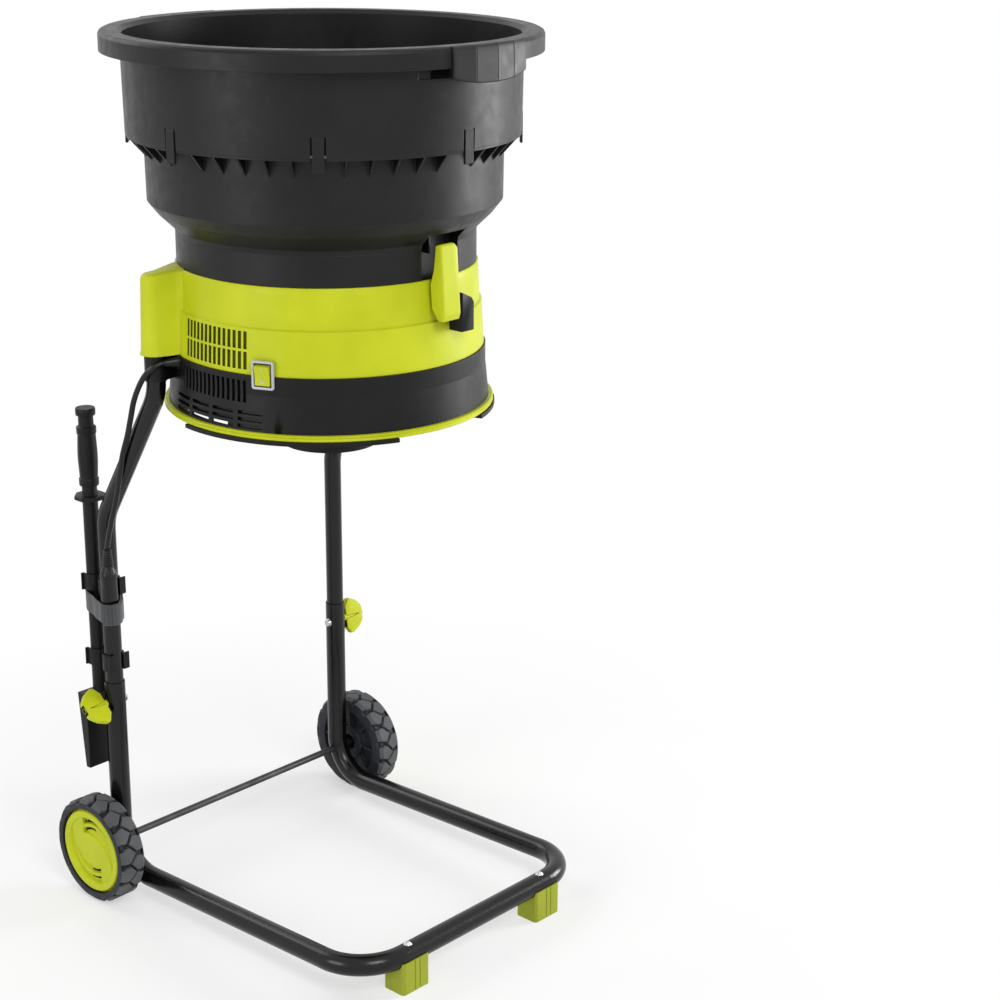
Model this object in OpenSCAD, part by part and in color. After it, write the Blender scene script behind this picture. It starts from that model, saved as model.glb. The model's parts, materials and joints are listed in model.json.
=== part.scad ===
// Electric leaf shredder on a wheeled tube stand: a round hopper in two rings, a motor housing with
// spinning line cutters, a bag ring below, two bent legs and a base loop with wheels and feet.
// Millimetres. The origin lies on the ground under the hopper's axis. +Z is up, the front bar and its
// feet are at -Y, and the axle runs along X at +Y.

/* [Hopper] */
// Outer radius of the rim
rim_r = 280; // [272:1:290]
// Width of the rim's flange, from the wall outwards
rim_w = 26; // [20:0.5:30]
// Height of the skirt that hangs from the flange
rim_h = 25; // [18:0.5:32]
// Height of the upper ring
upper_h = 127; // [115:1:150]
// How much wider the upper ring is at its rim than at its foot
upper_draft = 2; // [0:0.5:6]
// Wall thickness of both hopper rings
hopper_wall = 3; // [2.4:0.1:4]
// Width of the step from the upper ring in to the lower ring
ledge_w = 22.5; // [16:0.5:26]
// Height of the lower ring's straight part
lower_h = 85; // [75:1:100]
// Height of the shoulder that narrows the lower ring
shoulder_h = 41; // [34:1:50]
// Outer radius of the neck
neck_r = 194.4; // [188:0.2:200]
// Height of the neck that shows above the housing
neck_h = 40; // [34:1:50]
// Depth of the spigot that stands in the housing
spigot_h = 30; // [22:1:36]
// Number of snap tongues round the joint of the two rings
tongue_count = 8; // [6:1:10]
// Gussets between two snap tongues
gussets_between = 5; // [3:1:6]

/* [Housing] */
// Height of the upper housing
housing_h = 111; // [100:1:130]
// Wall thickness of the upper housing
housing_wall = 3; // [2.4:0.1:4]
// Height of the lower band of the upper housing, up to its step
band_h = 59; // [50:1:66]
// Outer radius of the socket round each leg
socket_r = 20; // [17:0.5:24]
// Depth of the bore that takes each leg
socket_depth = 85; // [60:1:92]
// Columns of slots in the vent grille
vent_columns = 14; // [8:1:16]

/* [Casing] */
// Height of the underside of the bag ring
ring_z = 722; // [700:1:745]
// Height of the bag ring
ring_h = 8; // [6:0.5:12]
// How far the bag ring stands out of the casing
ring_w = 10.5; // [7:0.5:14]
// Height of the base casing
casing_h = 70; // [64:1:85]
// Wall thickness of the base casing
casing_wall = 3; // [2.4:0.1:4]

/* [Stand] */
// Half the distance between the two legs
track_x = 210; // [200:1:225]
// Distance of the uprights behind the hopper's axis
upright_y = 221; // [205:1:235]
// Distance of the front bar before the hopper's axis
front_y = 268; // [250:0.2:285]
// Height of the base loop's centre line under the uprights
base_rear_z = 32; // [28:0.5:42]
// Height of the front bar's centre line
base_front_z = 47.5; // [40:0.5:58]
// Outer diameter of the base loop's tube
lower_tube_d = 28.6; // [28:0.1:31]
// Outer diameter of the legs' tube
upper_tube_d = 25; // [22:0.1:25.2]
// Wall thickness of both tubes
tube_wall = 1.4; // [0.8:0.1:1.4]
// Height of the seam where a leg enters the base loop
seam_z = 315; // [295:1:325]
// Height of the lower bend of each leg
leg_bend_z = 555; // [535:1:580]
// Distance of the leg sockets behind the hopper's axis
socket_y = 100; // [92:1:108]

/* [Wheels] */
// Radius of each wheel
wheel_r = 75; // [68:0.5:82]
// Width of each wheel
wheel_w = 40; // [34:0.5:48]
// Diameter of the axle
axle_d = 10; // [8:0.5:12]
// Outer radius of the hub cap
cap_r = 61.3; // [54:0.1:62]

/* [Feet] */
// Distance of each front foot from the middle
foot_x = 130; // [110:1:150]
// Width of each front foot along the bar
foot_w = 49; // [40:0.5:56]
// Height of each front foot
foot_h = 45; // [40:0.1:46]

/* [Tamper] */
// Distance of the tamper's axis behind the left upright
tool_gap = 33; // [32:0.5:40]
// Diameter of the tamper's shaft
shaft_d = 21; // [16:0.5:22]
// Height of the tamper's lower edge when it is stored
tool_z = 182; // [170:1:200]
// Length of the paddle
paddle_l = 110; // [90:1:112]
// Width of the paddle
paddle_w = 56; // [40:1:60]
// Length of the shaft between paddle and grip flange
shaft_l = 281; // [270:1:300]
// Length of the grip above its flange
grip_l = 128; // [110:1:145]

/* [Motor] */
// Outer radius of the motor pot
pot_r = 64; // [60:0.5:72]
// How far the pot hangs below the casing
pot_drop = 67; // [50:1:80]
// Height of the motor pot
pot_h = 179; // [174:1:186]
// Diameter of the motor shaft
motor_shaft_d = 12; // [10:0.5:13]
// Radius of the cutting disc
disc_r = 112; // [95:1:130]
// Clearance of the cutting lines inside the hopper's neck
line_gap = 16.4; // [12:0.2:30]
// Diameter of one cutting line
line_d = 2.4; // [2:0.1:3]
// Line posts on the cutting disc, each with two lines
post_count = 12; // [8:1:14]

/* [Latch] */
// Width of the latch lever
lever_w = 29; // [22:0.5:32]
// Length of the lever above its pivot
lever_l = 94; // [80:1:100]
// Width of the hinge block beside the lever
block_w = 22; // [16:0.5:24]

/* [Switch] */
// Width of the switch bezel
bezel_w = 30.4; // [26:0.2:34]
// Height of the switch bezel
bezel_h = 36.8; // [34:0.2:40]

/* [Cord] */
// Diameter of the power cord
cord_d = 7.5; // [7:0.5:10]

/* [Hidden] */
$fn = 64;

// Colours
lime = [0.77, 0.82, 0.18];
black = [0.15, 0.15, 0.16];
steel = [0.72, 0.73, 0.75];

// Clearances and the overrun of every cut
overrun = 2;
fit_gap = 0.2;
run_gap = 0.05;
lift_gap = 1;
seat_gap = 0.3;

// Heights from the ring up
casing_z = ring_z + ring_h;
housing_z = casing_z + casing_h;
neck_z = housing_z + housing_h;
shoulder_z = neck_z + neck_h;
lower_z = shoulder_z + shoulder_h;
ledge_z = lower_z + lower_h;
top_z = ledge_z + upper_h;
step_z = housing_z + band_h;

// Radii that follow the neck
collar_w = 2.1;
band_step = 3;
band_flare = 3.2;
upper_flare = 1.7;
casing_lip = 2.1;
collar_r = neck_r + collar_w;
step_r = collar_r + upper_flare;
band_r = step_r + band_step;
housing_base_r = band_r + band_flare;
casing_r = housing_base_r + casing_lip;
casing_in_r = casing_r - casing_wall;
ring_r = casing_r + ring_w;
spigot_step = 3.4;
spigot_r = neck_r - spigot_step;
spigot_z = neck_z + seat_gap - spigot_h;
line_reach = neck_r - line_gap;

// Radii that follow the rim
wall_top_r = rim_r - rim_w;
upper_r = wall_top_r - upper_draft;
lower_r = upper_r - ledge_w;

// Small helpers
function unit(v) = v / norm(v);
function across(v) = unit(cross(v, abs(v[2]) > abs(v[0]) ? [1, 0, 0] : [0, 0, 1]));
function turn(p, i) = acos(unit(p[i] - p[i - 1]) * unit(p[i + 1] - p[i]));
function trim(p, radii, i) = (i == 0 || i == len(p) - 1) ? 0 : radii[i] * tan(turn(p, i) / 2);

// A frame at a point with its third axis along a direction and its first along another
module placed(at, first, third) {
    second = cross(third, first);
    multmatrix([
        [first[0], second[0], third[0], at[0]],
        [first[1], second[1], third[1], at[1]],
        [first[2], second[2], third[2], at[2]]]) children();
}

// A solid bar along straight runs with round bends between them. A bend is a little thicker than its
// runs, which lap into it, as a drawn tube swells where it is bent.
bend_swell = 0.12;
bend_lap = 1.5;

module bent_bar(points, radii, r) {
    last = len(points) - 1;
    for (i = [0 : last - 1]) {
        way = unit(points[i + 1] - points[i]);
        from = points[i] + way * (i == 0 ? 0 : trim(points, radii, i) - bend_lap);
        to = points[i + 1] - way * (i == last - 1 ? 0 : trim(points, radii, i + 1) - bend_lap);
        placed(from, across(way), way) cylinder(r = r, h = norm(to - from));
    }
    for (i = [1 : last - 1]) {
        way = unit(points[i] - points[i - 1]);
        next = unit(points[i + 1] - points[i]);
        inward = unit(next - way * (way * next));
        centre = points[i] - way * trim(points, radii, i) + inward * radii[i];
        placed(centre, -inward, cross(-inward, way))
            rotate_extrude(angle = turn(points, i)) translate([radii[i], 0]) circle(r = r + bend_swell);
    }
}

module ring(r_out, r_in, h) {
    difference() {
        cylinder(r = r_out, h = h);
        translate([0, 0, -overrun]) cylinder(r = r_in, h = h + 2 * overrun);
    }
}

module at_angle(a, r, z) {
    rotate([0, 0, a]) translate([r, 0, z]) children();
}

module block(size, at) {
    translate(at) cube(size);
}

// Stand: base loop
rear_bend_r = 60;
front_bend_r = 70;
lower_r_tube = lower_tube_d / 2;
upper_r_tube = upper_tube_d / 2;
axle_drop = max(0, base_rear_z + rear_bend_r - wheel_r);
axle_y = upright_y - rear_bend_r + sqrt(rear_bend_r * rear_bend_r - axle_drop * axle_drop);
knob_drop = 30;
knob_z = seam_z - knob_drop;
bolt_r = 3;
foot_screw_r = 3;
spot_depth = 0.8;
spot_r = 7;

function loop_points(over) = [
    [-track_x, upright_y, seam_z + over],
    [-track_x, upright_y, base_rear_z],
    [-track_x, -front_y, base_front_z],
    [track_x, -front_y, base_front_z],
    [track_x, upright_y, base_rear_z],
    [track_x, upright_y, seam_z + over]];
loop_bends = [0, rear_bend_r, front_bend_r, front_bend_r, rear_bend_r, 0];

module along_x(x, y, z) {
    translate([x, y, z]) rotate([0, 90, 0]) children();
}

module base_frame() {
    color([0.09, 0.09, 0.1]) difference() {
        bent_bar(loop_points(0), loop_bends, lower_r_tube);
        bent_bar(loop_points(overrun), loop_bends, lower_r_tube - tube_wall);
        along_x(-track_x - lower_tube_d, axle_y, wheel_r)
            cylinder(r = axle_d / 2 + fit_gap, h = 2 * (track_x + lower_tube_d));
        along_x(-track_x - lower_tube_d, upright_y, knob_z)
            cylinder(r = bolt_r + fit_gap, h = 2 * (track_x + lower_tube_d));
        for (s = [-1, 1]) translate([s * foot_x, -front_y, base_front_z]) {
            translate([0, 0, -lower_tube_d]) cylinder(r = foot_screw_r + fit_gap, h = 2 * lower_tube_d);
            translate([0, 0, lower_r_tube - spot_depth]) cylinder(r = spot_r, h = overrun);
        }
    }
}

// Wheels: distances along the axle are measured from the middle of the machine
wheel_standoff = 5.7;
wheel_gap = 0.5;
boss_r = 14;
web_t = 6;
web_in = 4;
cap_depth = 14;
rim_wall = 9;
tread_crown = 3;
tread_depth = 3.5;
tread_w = 7;
tread_count = 20;
axle_r = axle_d / 2;
hub_in_x = track_x + lower_r_tube + wheel_gap;
wheel_in_x = track_x + lower_r_tube + wheel_standoff;
wheel_out_x = wheel_in_x + wheel_w;
boss_out_x = wheel_out_x - cap_depth;
nut_t = 3;
nut_r = 9;
nut_x = boss_out_x + seat_gap;
axle_end_x = nut_x + nut_t + seat_gap;
cap_t = 3;
cap_x = axle_end_x + seat_gap;
cap_recess = 2;
cap_rim_w = 8;

module on_axle(s) {
    translate([0, axle_y, wheel_r]) rotate([0, s * 90, 0]) children();
}

module wheel(s) {
    bore = axle_r + run_gap;
    seat = cap_r + fit_gap;
    inner = wheel_r - rim_wall;
    color(black) on_axle(s) difference() {
        rotate_extrude() polygon([
            [bore, hub_in_x],
            [boss_r, hub_in_x],
            [boss_r, wheel_in_x + web_in],
            [inner, wheel_in_x + web_in],
            [inner, wheel_in_x],
            [wheel_r - tread_crown, wheel_in_x],
            [wheel_r, wheel_in_x + tread_crown],
            [wheel_r, wheel_out_x - tread_crown],
            [wheel_r - tread_crown, wheel_out_x],
            [seat, wheel_out_x],
            [seat, wheel_in_x + web_in + web_t],
            [boss_r, wheel_in_x + web_in + web_t],
            [boss_r, boss_out_x],
            [bore, boss_out_x]]);
        for (i = [0 : tread_count - 1]) {
            rotate([0, 0, i * 360 / tread_count])
                block([tread_depth + overrun, tread_w, wheel_w / 2],
                    [wheel_r - tread_depth, -tread_w / 2, wheel_out_x - wheel_w / 3]);
            rotate([0, 0, (i + 0.5) * 360 / tread_count])
                block([tread_depth + overrun, tread_w, wheel_w / 2],
                    [wheel_r - tread_depth, -tread_w / 2, wheel_in_x + wheel_w / 3 - wheel_w / 2]);
        }
    }
}

// Swirl of the hub cap: a raised S band between two round dishes, each with a crescent opening
dish_share = 0.58;
dish_across_share = 0.46;
dish_along_share = 0.17;
crescent_share = 0.36;
crescent_shift_share = 0.16;
swirl_turn = 20;

module dish_circle(s, share, field_r) {
    translate([s * dish_across_share * field_r, s * dish_along_share * field_r]) circle(r = share * field_r);
}

module hub_cap(s) {
    field_r = cap_r - cap_rim_w;
    crown_x = wheel_out_x - cap_recess;
    color(lime) on_axle(s) rotate([0, 0, swirl_turn]) {
        translate([0, 0, cap_x]) ring(cap_r, field_r, crown_x - cap_x);
        translate([0, 0, cap_x]) linear_extrude(cap_t) difference() {
            circle(r = field_r);
            for (t = [-1, 1]) difference() {
                dish_circle(t, crescent_share, field_r);
                translate([-t * crescent_shift_share * field_r, 0]) dish_circle(t, crescent_share, field_r);
            }
        }
        translate([0, 0, cap_x + cap_t]) linear_extrude(crown_x - cap_x - cap_t) difference() {
            circle(r = field_r);
            for (t = [-1, 1]) dish_circle(t, dish_share, field_r);
        }
    }
}

module left_wheel() { wheel(-1); }
module right_wheel() { wheel(1); }
module left_hub_cap() { hub_cap(-1); }
module right_hub_cap() { hub_cap(1); }

module axle() {
    color(black) along_x(-axle_end_x, axle_y, wheel_r) cylinder(r = axle_r, h = 2 * axle_end_x);
}

module axle_nuts() {
    color(steel) for (s = [-1, 1]) on_axle(s) translate([0, 0, nut_x]) ring(nut_r, axle_r + run_gap, nut_t);
}

// Feet: each carries the front bar in a saddle, and has a bead between two grooves on its front
foot_before = 16.4;
foot_behind = 20.6;
foot_round = 5;
groove_x = [-3, 6];
groove_w = 1.6;
groove_depth = 0.9;
screw_grip = 18;
screw_head_r = 6;
screw_head_h = 3;
bar_z = base_front_z - lower_r_tube;

module front_feet() {
    corner_x = foot_w / 2 - foot_round;
    color([0.7, 0.76, 0.14]) for (s = [-1, 1]) translate([s * foot_x, -front_y, 0]) difference() {
        linear_extrude(foot_h) hull() for (x = [-corner_x, corner_x])
            for (y = [foot_round - foot_before, foot_behind - foot_round])
                translate([x, y]) circle(r = foot_round, $fn = 32);
        translate([-s * foot_x, front_y, 0]) bent_bar(loop_points(0), loop_bends, lower_r_tube + fit_gap);
        translate([0, 0, bar_z - screw_grip]) cylinder(r = foot_screw_r + run_gap, h = foot_h);
        for (x = groove_x)
            block([groove_w, groove_depth + overrun, foot_h + 2 * overrun],
                [x - groove_w / 2, -foot_before - overrun, -overrun]);
    }
}

module foot_screws() {
    head_z = base_front_z + lower_r_tube - spot_depth;
    color(steel) for (s = [-1, 1]) translate([s * foot_x, -front_y, 0]) {
        translate([0, 0, bar_z - screw_grip]) cylinder(r = foot_screw_r, h = head_z - bar_z + screw_grip);
        translate([0, 0, head_z]) cylinder(r1 = screw_head_r, r2 = foot_screw_r, h = screw_head_h);
    }
}

// Legs: from the base loop up, forward in a diagonal and up again into the housing
leg_insert = 70;
leg_bend_r = 60;
leg_top_rise = 26;
leg_top_z = ring_z + leg_top_rise;
socket_top_z = housing_z + socket_depth;
socket_screw_r = 2.5;
socket_screw_z = housing_z + socket_depth / 2;

function leg_points(s, over) = [
    [s * track_x, upright_y, seam_z - leg_insert - over],
    [s * track_x, upright_y, leg_bend_z],
    [s * track_x, socket_y, leg_top_z],
    [s * track_x, socket_y, socket_top_z + over]];
leg_bends = [0, leg_bend_r, leg_bend_r, 0];

module leg(s) {
    color([0.09, 0.09, 0.1]) difference() {
        bent_bar(leg_points(s, 0), leg_bends, upper_r_tube);
        bent_bar(leg_points(s, overrun), leg_bends, upper_r_tube - tube_wall);
        along_x(s * track_x - upper_tube_d, upright_y, knob_z)
            cylinder(r = bolt_r + fit_gap, h = 2 * upper_tube_d);
        translate([s * track_x, socket_y, socket_screw_z]) rotate([-90, 0, 0])
            cylinder(r = socket_screw_r + fit_gap, h = upper_tube_d);
    }
}

module left_leg() { leg(-1); }
module right_leg() { leg(1); }

// Clamp of each leg: a through bolt with its head inside and a wing knob outside
bolt_head_r = 6.5;
bolt_head_h = 3.5;
knob_gap = 1;
knob_neck = 4;
knob_wing = 27.5;
knob_t = 10;
knob_boss_r = 8;
left_knob_tilt = -48;
right_knob_tilt = -10;
knob_l = knob_neck + knob_wing;
bolt_out = lower_r_tube + knob_gap + knob_l - knob_neck;

module leg_bolts() {
    color(steel) for (s = [-1, 1]) translate([s * track_x, upright_y, knob_z]) rotate([0, s * 90, 0]) {
        translate([0, 0, -lower_r_tube]) cylinder(r = bolt_r, h = lower_r_tube + bolt_out);
        translate([0, 0, -lower_r_tube - bolt_head_h])
            cylinder(r1 = bolt_head_r - bolt_head_h / 2, r2 = bolt_head_r, h = bolt_head_h);
    }
}

module knob(s, tilt) {
    color(lime) translate([s * (track_x + lower_r_tube + knob_gap), upright_y, knob_z]) rotate([tilt, 0, 0])
        rotate([0, s * 90, 0]) difference() {
            union() {
                cylinder(r = knob_boss_r, h = knob_l);
                translate([0, knob_t / 2, knob_neck]) rotate([90, 0, 0]) linear_extrude(knob_t)
                    intersection() {
                        circle(r = knob_wing);
                        translate([-knob_wing, 0]) square([2 * knob_wing, knob_wing]);
                    }
            }
            translate([0, 0, -overrun]) cylinder(r = bolt_r + run_gap, h = knob_l + 2 * overrun);
        }
}

module left_knob() { knob(-1, left_knob_tilt); }
module right_knob() { knob(1, right_knob_tilt); }

// Clips that carry the tamper behind the left leg
clip_t = 2.5;
clip_h = 24;
clip_arm = 9;
clip_mouth = 16;
clip_lip = 5;
clip_lip_t = 2;
clip_web = 8;
lower_clip_rise = 18;
upper_clip_rise = 128;
clip_levels = [seam_z + lower_clip_rise, seam_z + upper_clip_rise];
shaft_r = shaft_d / 2;
tool_y = upright_y + tool_gap;

module clip_outline() {
    leg_in = upper_r_tube + fit_gap;
    tool_in = shaft_r + seat_gap;
    difference() {
        union() {
            circle(r = leg_in + clip_t);
            translate([-clip_web / 2, 0]) square([clip_web, tool_gap]);
            translate([0, tool_gap]) circle(r = tool_in + clip_t);
            translate([-tool_in - clip_t, tool_gap]) square([2 * (tool_in + clip_t), clip_arm]);
            translate([-tool_in - clip_lip, tool_gap + clip_arm - clip_lip_t])
                square([2 * (tool_in + clip_lip), clip_lip_t]);
            translate([-leg_in - clip_lip, -leg_in]) square([2 * (leg_in + clip_lip), clip_lip_t]);
        }
        circle(r = leg_in);
        translate([-clip_mouth / 2, -leg_in - clip_lip]) square([clip_mouth, leg_in + clip_lip]);
        translate([0, tool_gap]) circle(r = tool_in);
        translate([-tool_in, tool_gap]) square([2 * tool_in, shaft_d + clip_arm]);
    }
}

module tool_clips() {
    color(black) for (z = clip_levels)
        translate([-track_x, upright_y, z]) linear_extrude(clip_h) clip_outline();
}

// Tamper: a wedge paddle, a round shaft and a turned grip with a guard flange
paddle_front = 4;
paddle_top_t = 19;
paddle_edge_t = 8;
flange_r = 20.7;
flange_t = 6;
grip_neck_r = 10.2;
collar_grip_r = 13.4;
barrel_r = 13.7;
barrel_end_r = 12;
// Heights of the grip's stations as shares of its length, from the flange up
collar_low_shares = [0.156, 0.234];
barrel_shares = [0.25, 0.48, 0.71];
collar_high_shares = [0.72, 0.797];
pommel_shares = [0.922, 1];
paddle_top_z = tool_z + paddle_l;
flange_z = paddle_top_z + shaft_l;

module tamper_paddle() {
    color(black) translate([-track_x - paddle_w / 2, tool_y - paddle_front, tool_z]) rotate([90, 0, 90])
        linear_extrude(paddle_w)
            polygon([[0, 0], [paddle_edge_t, 0], [paddle_top_t, paddle_l], [0, paddle_l]]);
}

module tamper_shaft() {
    color(black) translate([-track_x, tool_y, paddle_top_z]) cylinder(r = shaft_r, h = shaft_l);
}

module tamper_grip() {
    g = grip_l;
    color(black) translate([-track_x, tool_y, flange_z]) rotate_extrude() polygon([
        [0, 0],
        [flange_r, 0],
        [flange_r, flange_t],
        [grip_neck_r, flange_t],
        [grip_neck_r, g * collar_low_shares[0]],
        [collar_grip_r, g * collar_low_shares[0]],
        [collar_grip_r, g * collar_low_shares[1]],
        [barrel_end_r, g * barrel_shares[0]],
        [barrel_r, g * barrel_shares[1]],
        [barrel_end_r, g * barrel_shares[2]],
        [collar_grip_r, g * collar_high_shares[0]],
        [collar_grip_r, g * collar_high_shares[1]],
        [grip_neck_r, g * collar_high_shares[1]],
        [grip_neck_r, g * pommel_shares[0]],
        [collar_grip_r, g * pommel_shares[0]],
        [collar_grip_r, g * pommel_shares[1]],
        [0, g * pommel_shares[1]]]);
}

// Power cord, from the gland on the casing down the left leg to the stored plug
gland_angle = 159;
gland_drop = 7;
gland_z = housing_z - gland_drop;
gland_l = 20;
gland_r = 7.5;
gland_flange_r = 9;
gland_flange_t = 3;
gland_sink = 10;
cord_r = cord_d / 2;
cord_sides = 10;
gland_way = [cos(gland_angle), sin(gland_angle), 0];
gland_tip = gland_way * (casing_r + gland_l) + [0, 0, gland_z];
cord_route = [gland_tip, [-217, 83.3, 791.5], [-224.6, 87.5, 787], [-228.8, 96.8, 778], [-230, 109, 762],
    [-230, 122, 739], [-229, 132, 713], [-228, 142, 687], [-228, 153, 661], [-227, 162, 635],
    [-227.3, 168.5, 609], [-228.3, 176, 583], [-228.7, 185.6, 557], [-228.5, 193, 535], [-228, 198.2, 518]];

function cord_way(i) = i == 0 ? gland_way
    : i == len(cord_route) - 1 ? [0, 0, -1]
    : unit(cord_route[i + 1] - cord_route[i - 1]);
function cord_ring(i) = let (way = cord_way(i), u = unit(cross(way, [0, 1, 0])), v = cross(way, u))
    [for (k = [0 : cord_sides - 1]) cord_route[i]
        + u * cord_r * cos(k * 360 / cord_sides) + v * cord_r * sin(k * 360 / cord_sides)];

module power_cord() {
    rings = len(cord_route);
    points = [for (i = [0 : rings - 1]) each cord_ring(i)];
    walls = [for (i = [0 : rings - 2]) for (k = [0 : cord_sides - 1])
        let (a = i * cord_sides + k, b = i * cord_sides + (k + 1) % cord_sides)
        each [[a, b, b + cord_sides], [a, b + cord_sides, a + cord_sides]]];
    first = [for (k = [1 : cord_sides - 2]) [0, k + 1, k]];
    base = (rings - 1) * cord_sides;
    last = [for (k = [1 : cord_sides - 2]) [base, base + k, base + k + 1]];
    color(black) polyhedron(points = points, faces = concat(walls, first, last));
}

module cord_gland() {
    color(black) at_angle(gland_angle, casing_r, gland_z) rotate([0, 90, 0]) {
        cylinder(r1 = gland_r, r2 = cord_r, h = gland_l);
        translate([0, 0, -gland_sink]) cylinder(r = gland_r, h = gland_sink);
        cylinder(r = gland_flange_r, h = gland_flange_t);
    }
}

// Plug, stored upright before the left leg under the strap
relief_l = 24;
relief_r = 7;
plug_l = 52;
plug_r = 11;
plug_flat = 18;
blade_l = 18;
blade_w = 6.3;
blade_t = 1.5;
blade_pitch = 12.7;
ground_r = 2.4;
ground_offset = 5;
plug_top = cord_route[len(cord_route) - 1];
plug_z = plug_top[2] - relief_l - plug_l;

module plug_body() {
    color(black) translate([plug_top[0], plug_top[1], plug_z]) {
        translate([0, 0, plug_l]) cylinder(r1 = relief_r, r2 = cord_r, h = relief_l);
        intersection() {
            cylinder(r = plug_r, h = plug_l);
            translate([-plug_r, -plug_flat / 2, 0]) cube([2 * plug_r, plug_flat, plug_l]);
        }
    }
}

module plug_blades() {
    color(steel) translate([plug_top[0], plug_top[1], plug_z - blade_l]) {
        for (s = [-1, 1]) translate([s * blade_pitch / 2 - blade_t / 2, -blade_w, 0])
            cube([blade_t, blade_w, blade_l]);
        translate([0, ground_offset, 0]) cylinder(r = ground_r, h = blade_l);
    }
}

// Hook-and-loop strap round the tamper, the leg and the plug
strap_rise = 100;
strap_h = 26;
strap_t = 2.2;
strap_z = seam_z + strap_rise;

module strap_outline(extra) {
    hull() {
        translate([-track_x, tool_y]) circle(r = shaft_r + extra, $fn = 32);
        translate([-track_x, upright_y]) circle(r = upper_r_tube + extra, $fn = 32);
        translate([plug_top[0], plug_top[1]]) circle(r = plug_r + extra, $fn = 32);
    }
}

module cord_strap() {
    color([0.25, 0.25, 0.27]) translate([0, 0, strap_z]) difference() {
        linear_extrude(strap_h) strap_outline(seat_gap + strap_t);
        translate([0, 0, -overrun]) linear_extrude(strap_h + 2 * overrun) strap_outline(seat_gap);
    }
}

// Base casing: a round wall with cooling slots, a ledge inside and a spigot into the housing
casing_spigot_h = 10;
casing_spigot_r = housing_base_r - housing_wall - seat_gap
    - band_flare * casing_spigot_h / (band_h - casing_spigot_h);
ledge_rise = 27;
casing_ledge_t = 5;
casing_ledge_w = 14;
casing_ledge_z = casing_z + ledge_rise;
vent_angle = 181.4;
vent_pitch = 2.3;
vent_slot_w = 4.6;
low_vent_h = 28;
low_vent_drop = 7;
wide_columns = 4;
wide_pitch = 11.4;
wide_slot = 9.6;
wide_rows = 3;
wide_row_pitch = 8.6;
wide_row_h = 4.6;
wide_row_rise = 3;
switch_angle = 203.75;
switch_in = 3.4;
switch_w = bezel_w - 2 * switch_in;
switch_h = bezel_h - 2 * switch_in;
switch_rise = 2.5;
switch_z = housing_z + switch_rise;
switch_depth = 26;
panel_angle = 209;
panel_groove = 0.8;
panel_groove_h = 28;
panel_groove_span = 0.25;
casing_flare = 4.5;
casing_flare_h = 46;
leg_boss_h = 33;
leg_boss_wall = 1.4;
leg_boss_angles = [152.5, 143];

module vent_slots(r, wall, z, h) {
    for (i = [0 : vent_columns - 1])
        rotate([0, 0, vent_angle + (i - (vent_columns - 1) / 2) * vent_pitch])
            block([wall + 2 * overrun, vent_slot_w, h], [r - wall - overrun, -vent_slot_w / 2, z]);
}

module switch_hole() {
    at_angle(switch_angle, casing_r, switch_z)
        block([2 * switch_depth, switch_w + 2 * fit_gap, switch_h + 2 * fit_gap],
            [-switch_depth, -switch_w / 2 - fit_gap, -switch_h / 2 - fit_gap]);
}

module gland_hole() {
    at_angle(gland_angle, casing_r - 2 * gland_sink, gland_z) rotate([0, 90, 0])
        cylinder(r = gland_r + fit_gap, h = 4 * gland_sink);
    at_angle(gland_angle, casing_r, gland_z) rotate([0, 90, 0]) translate([0, 0, -casing_lip - overrun])
        cylinder(r = gland_flange_r + fit_gap, h = gland_l);
}

module wide_slots() {
    for (c = [0 : wide_columns - 1], row = [0 : wide_rows - 1])
        rotate([0, 0, vent_angle - wide_slot / 2 + (c - (wide_columns - 1) / 2) * wide_pitch])
            translate([0, 0, casing_z + wide_row_rise + row * wide_row_pitch])
                rotate_extrude(angle = wide_slot)
                    translate([casing_in_r - overrun, 0])
                        square([casing_wall + casing_flare + 2 * overrun, wide_row_h]);
}

// Cup round a leg below its socket, with a web to the casing's wall
module leg_boss() {
    seat = [-track_x, socket_y];
    hole_r = upper_r_tube + fit_gap;
    root_r = casing_r - casing_wall / 2;
    front = root_r * [cos(leg_boss_angles[0]), sin(leg_boss_angles[0])];
    rear = root_r * [cos(leg_boss_angles[1]), sin(leg_boss_angles[1])];
    side = (hole_r + leg_boss_wall) * unit(front - rear);
    translate([0, 0, housing_z - seat_gap - leg_boss_h]) linear_extrude(leg_boss_h) difference() {
        union() {
            translate(seat) circle(r = hole_r + leg_boss_wall);
            polygon([front, seat + side, seat - side, rear]);
        }
        translate(seat) circle(r = hole_r);
    }
}

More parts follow.
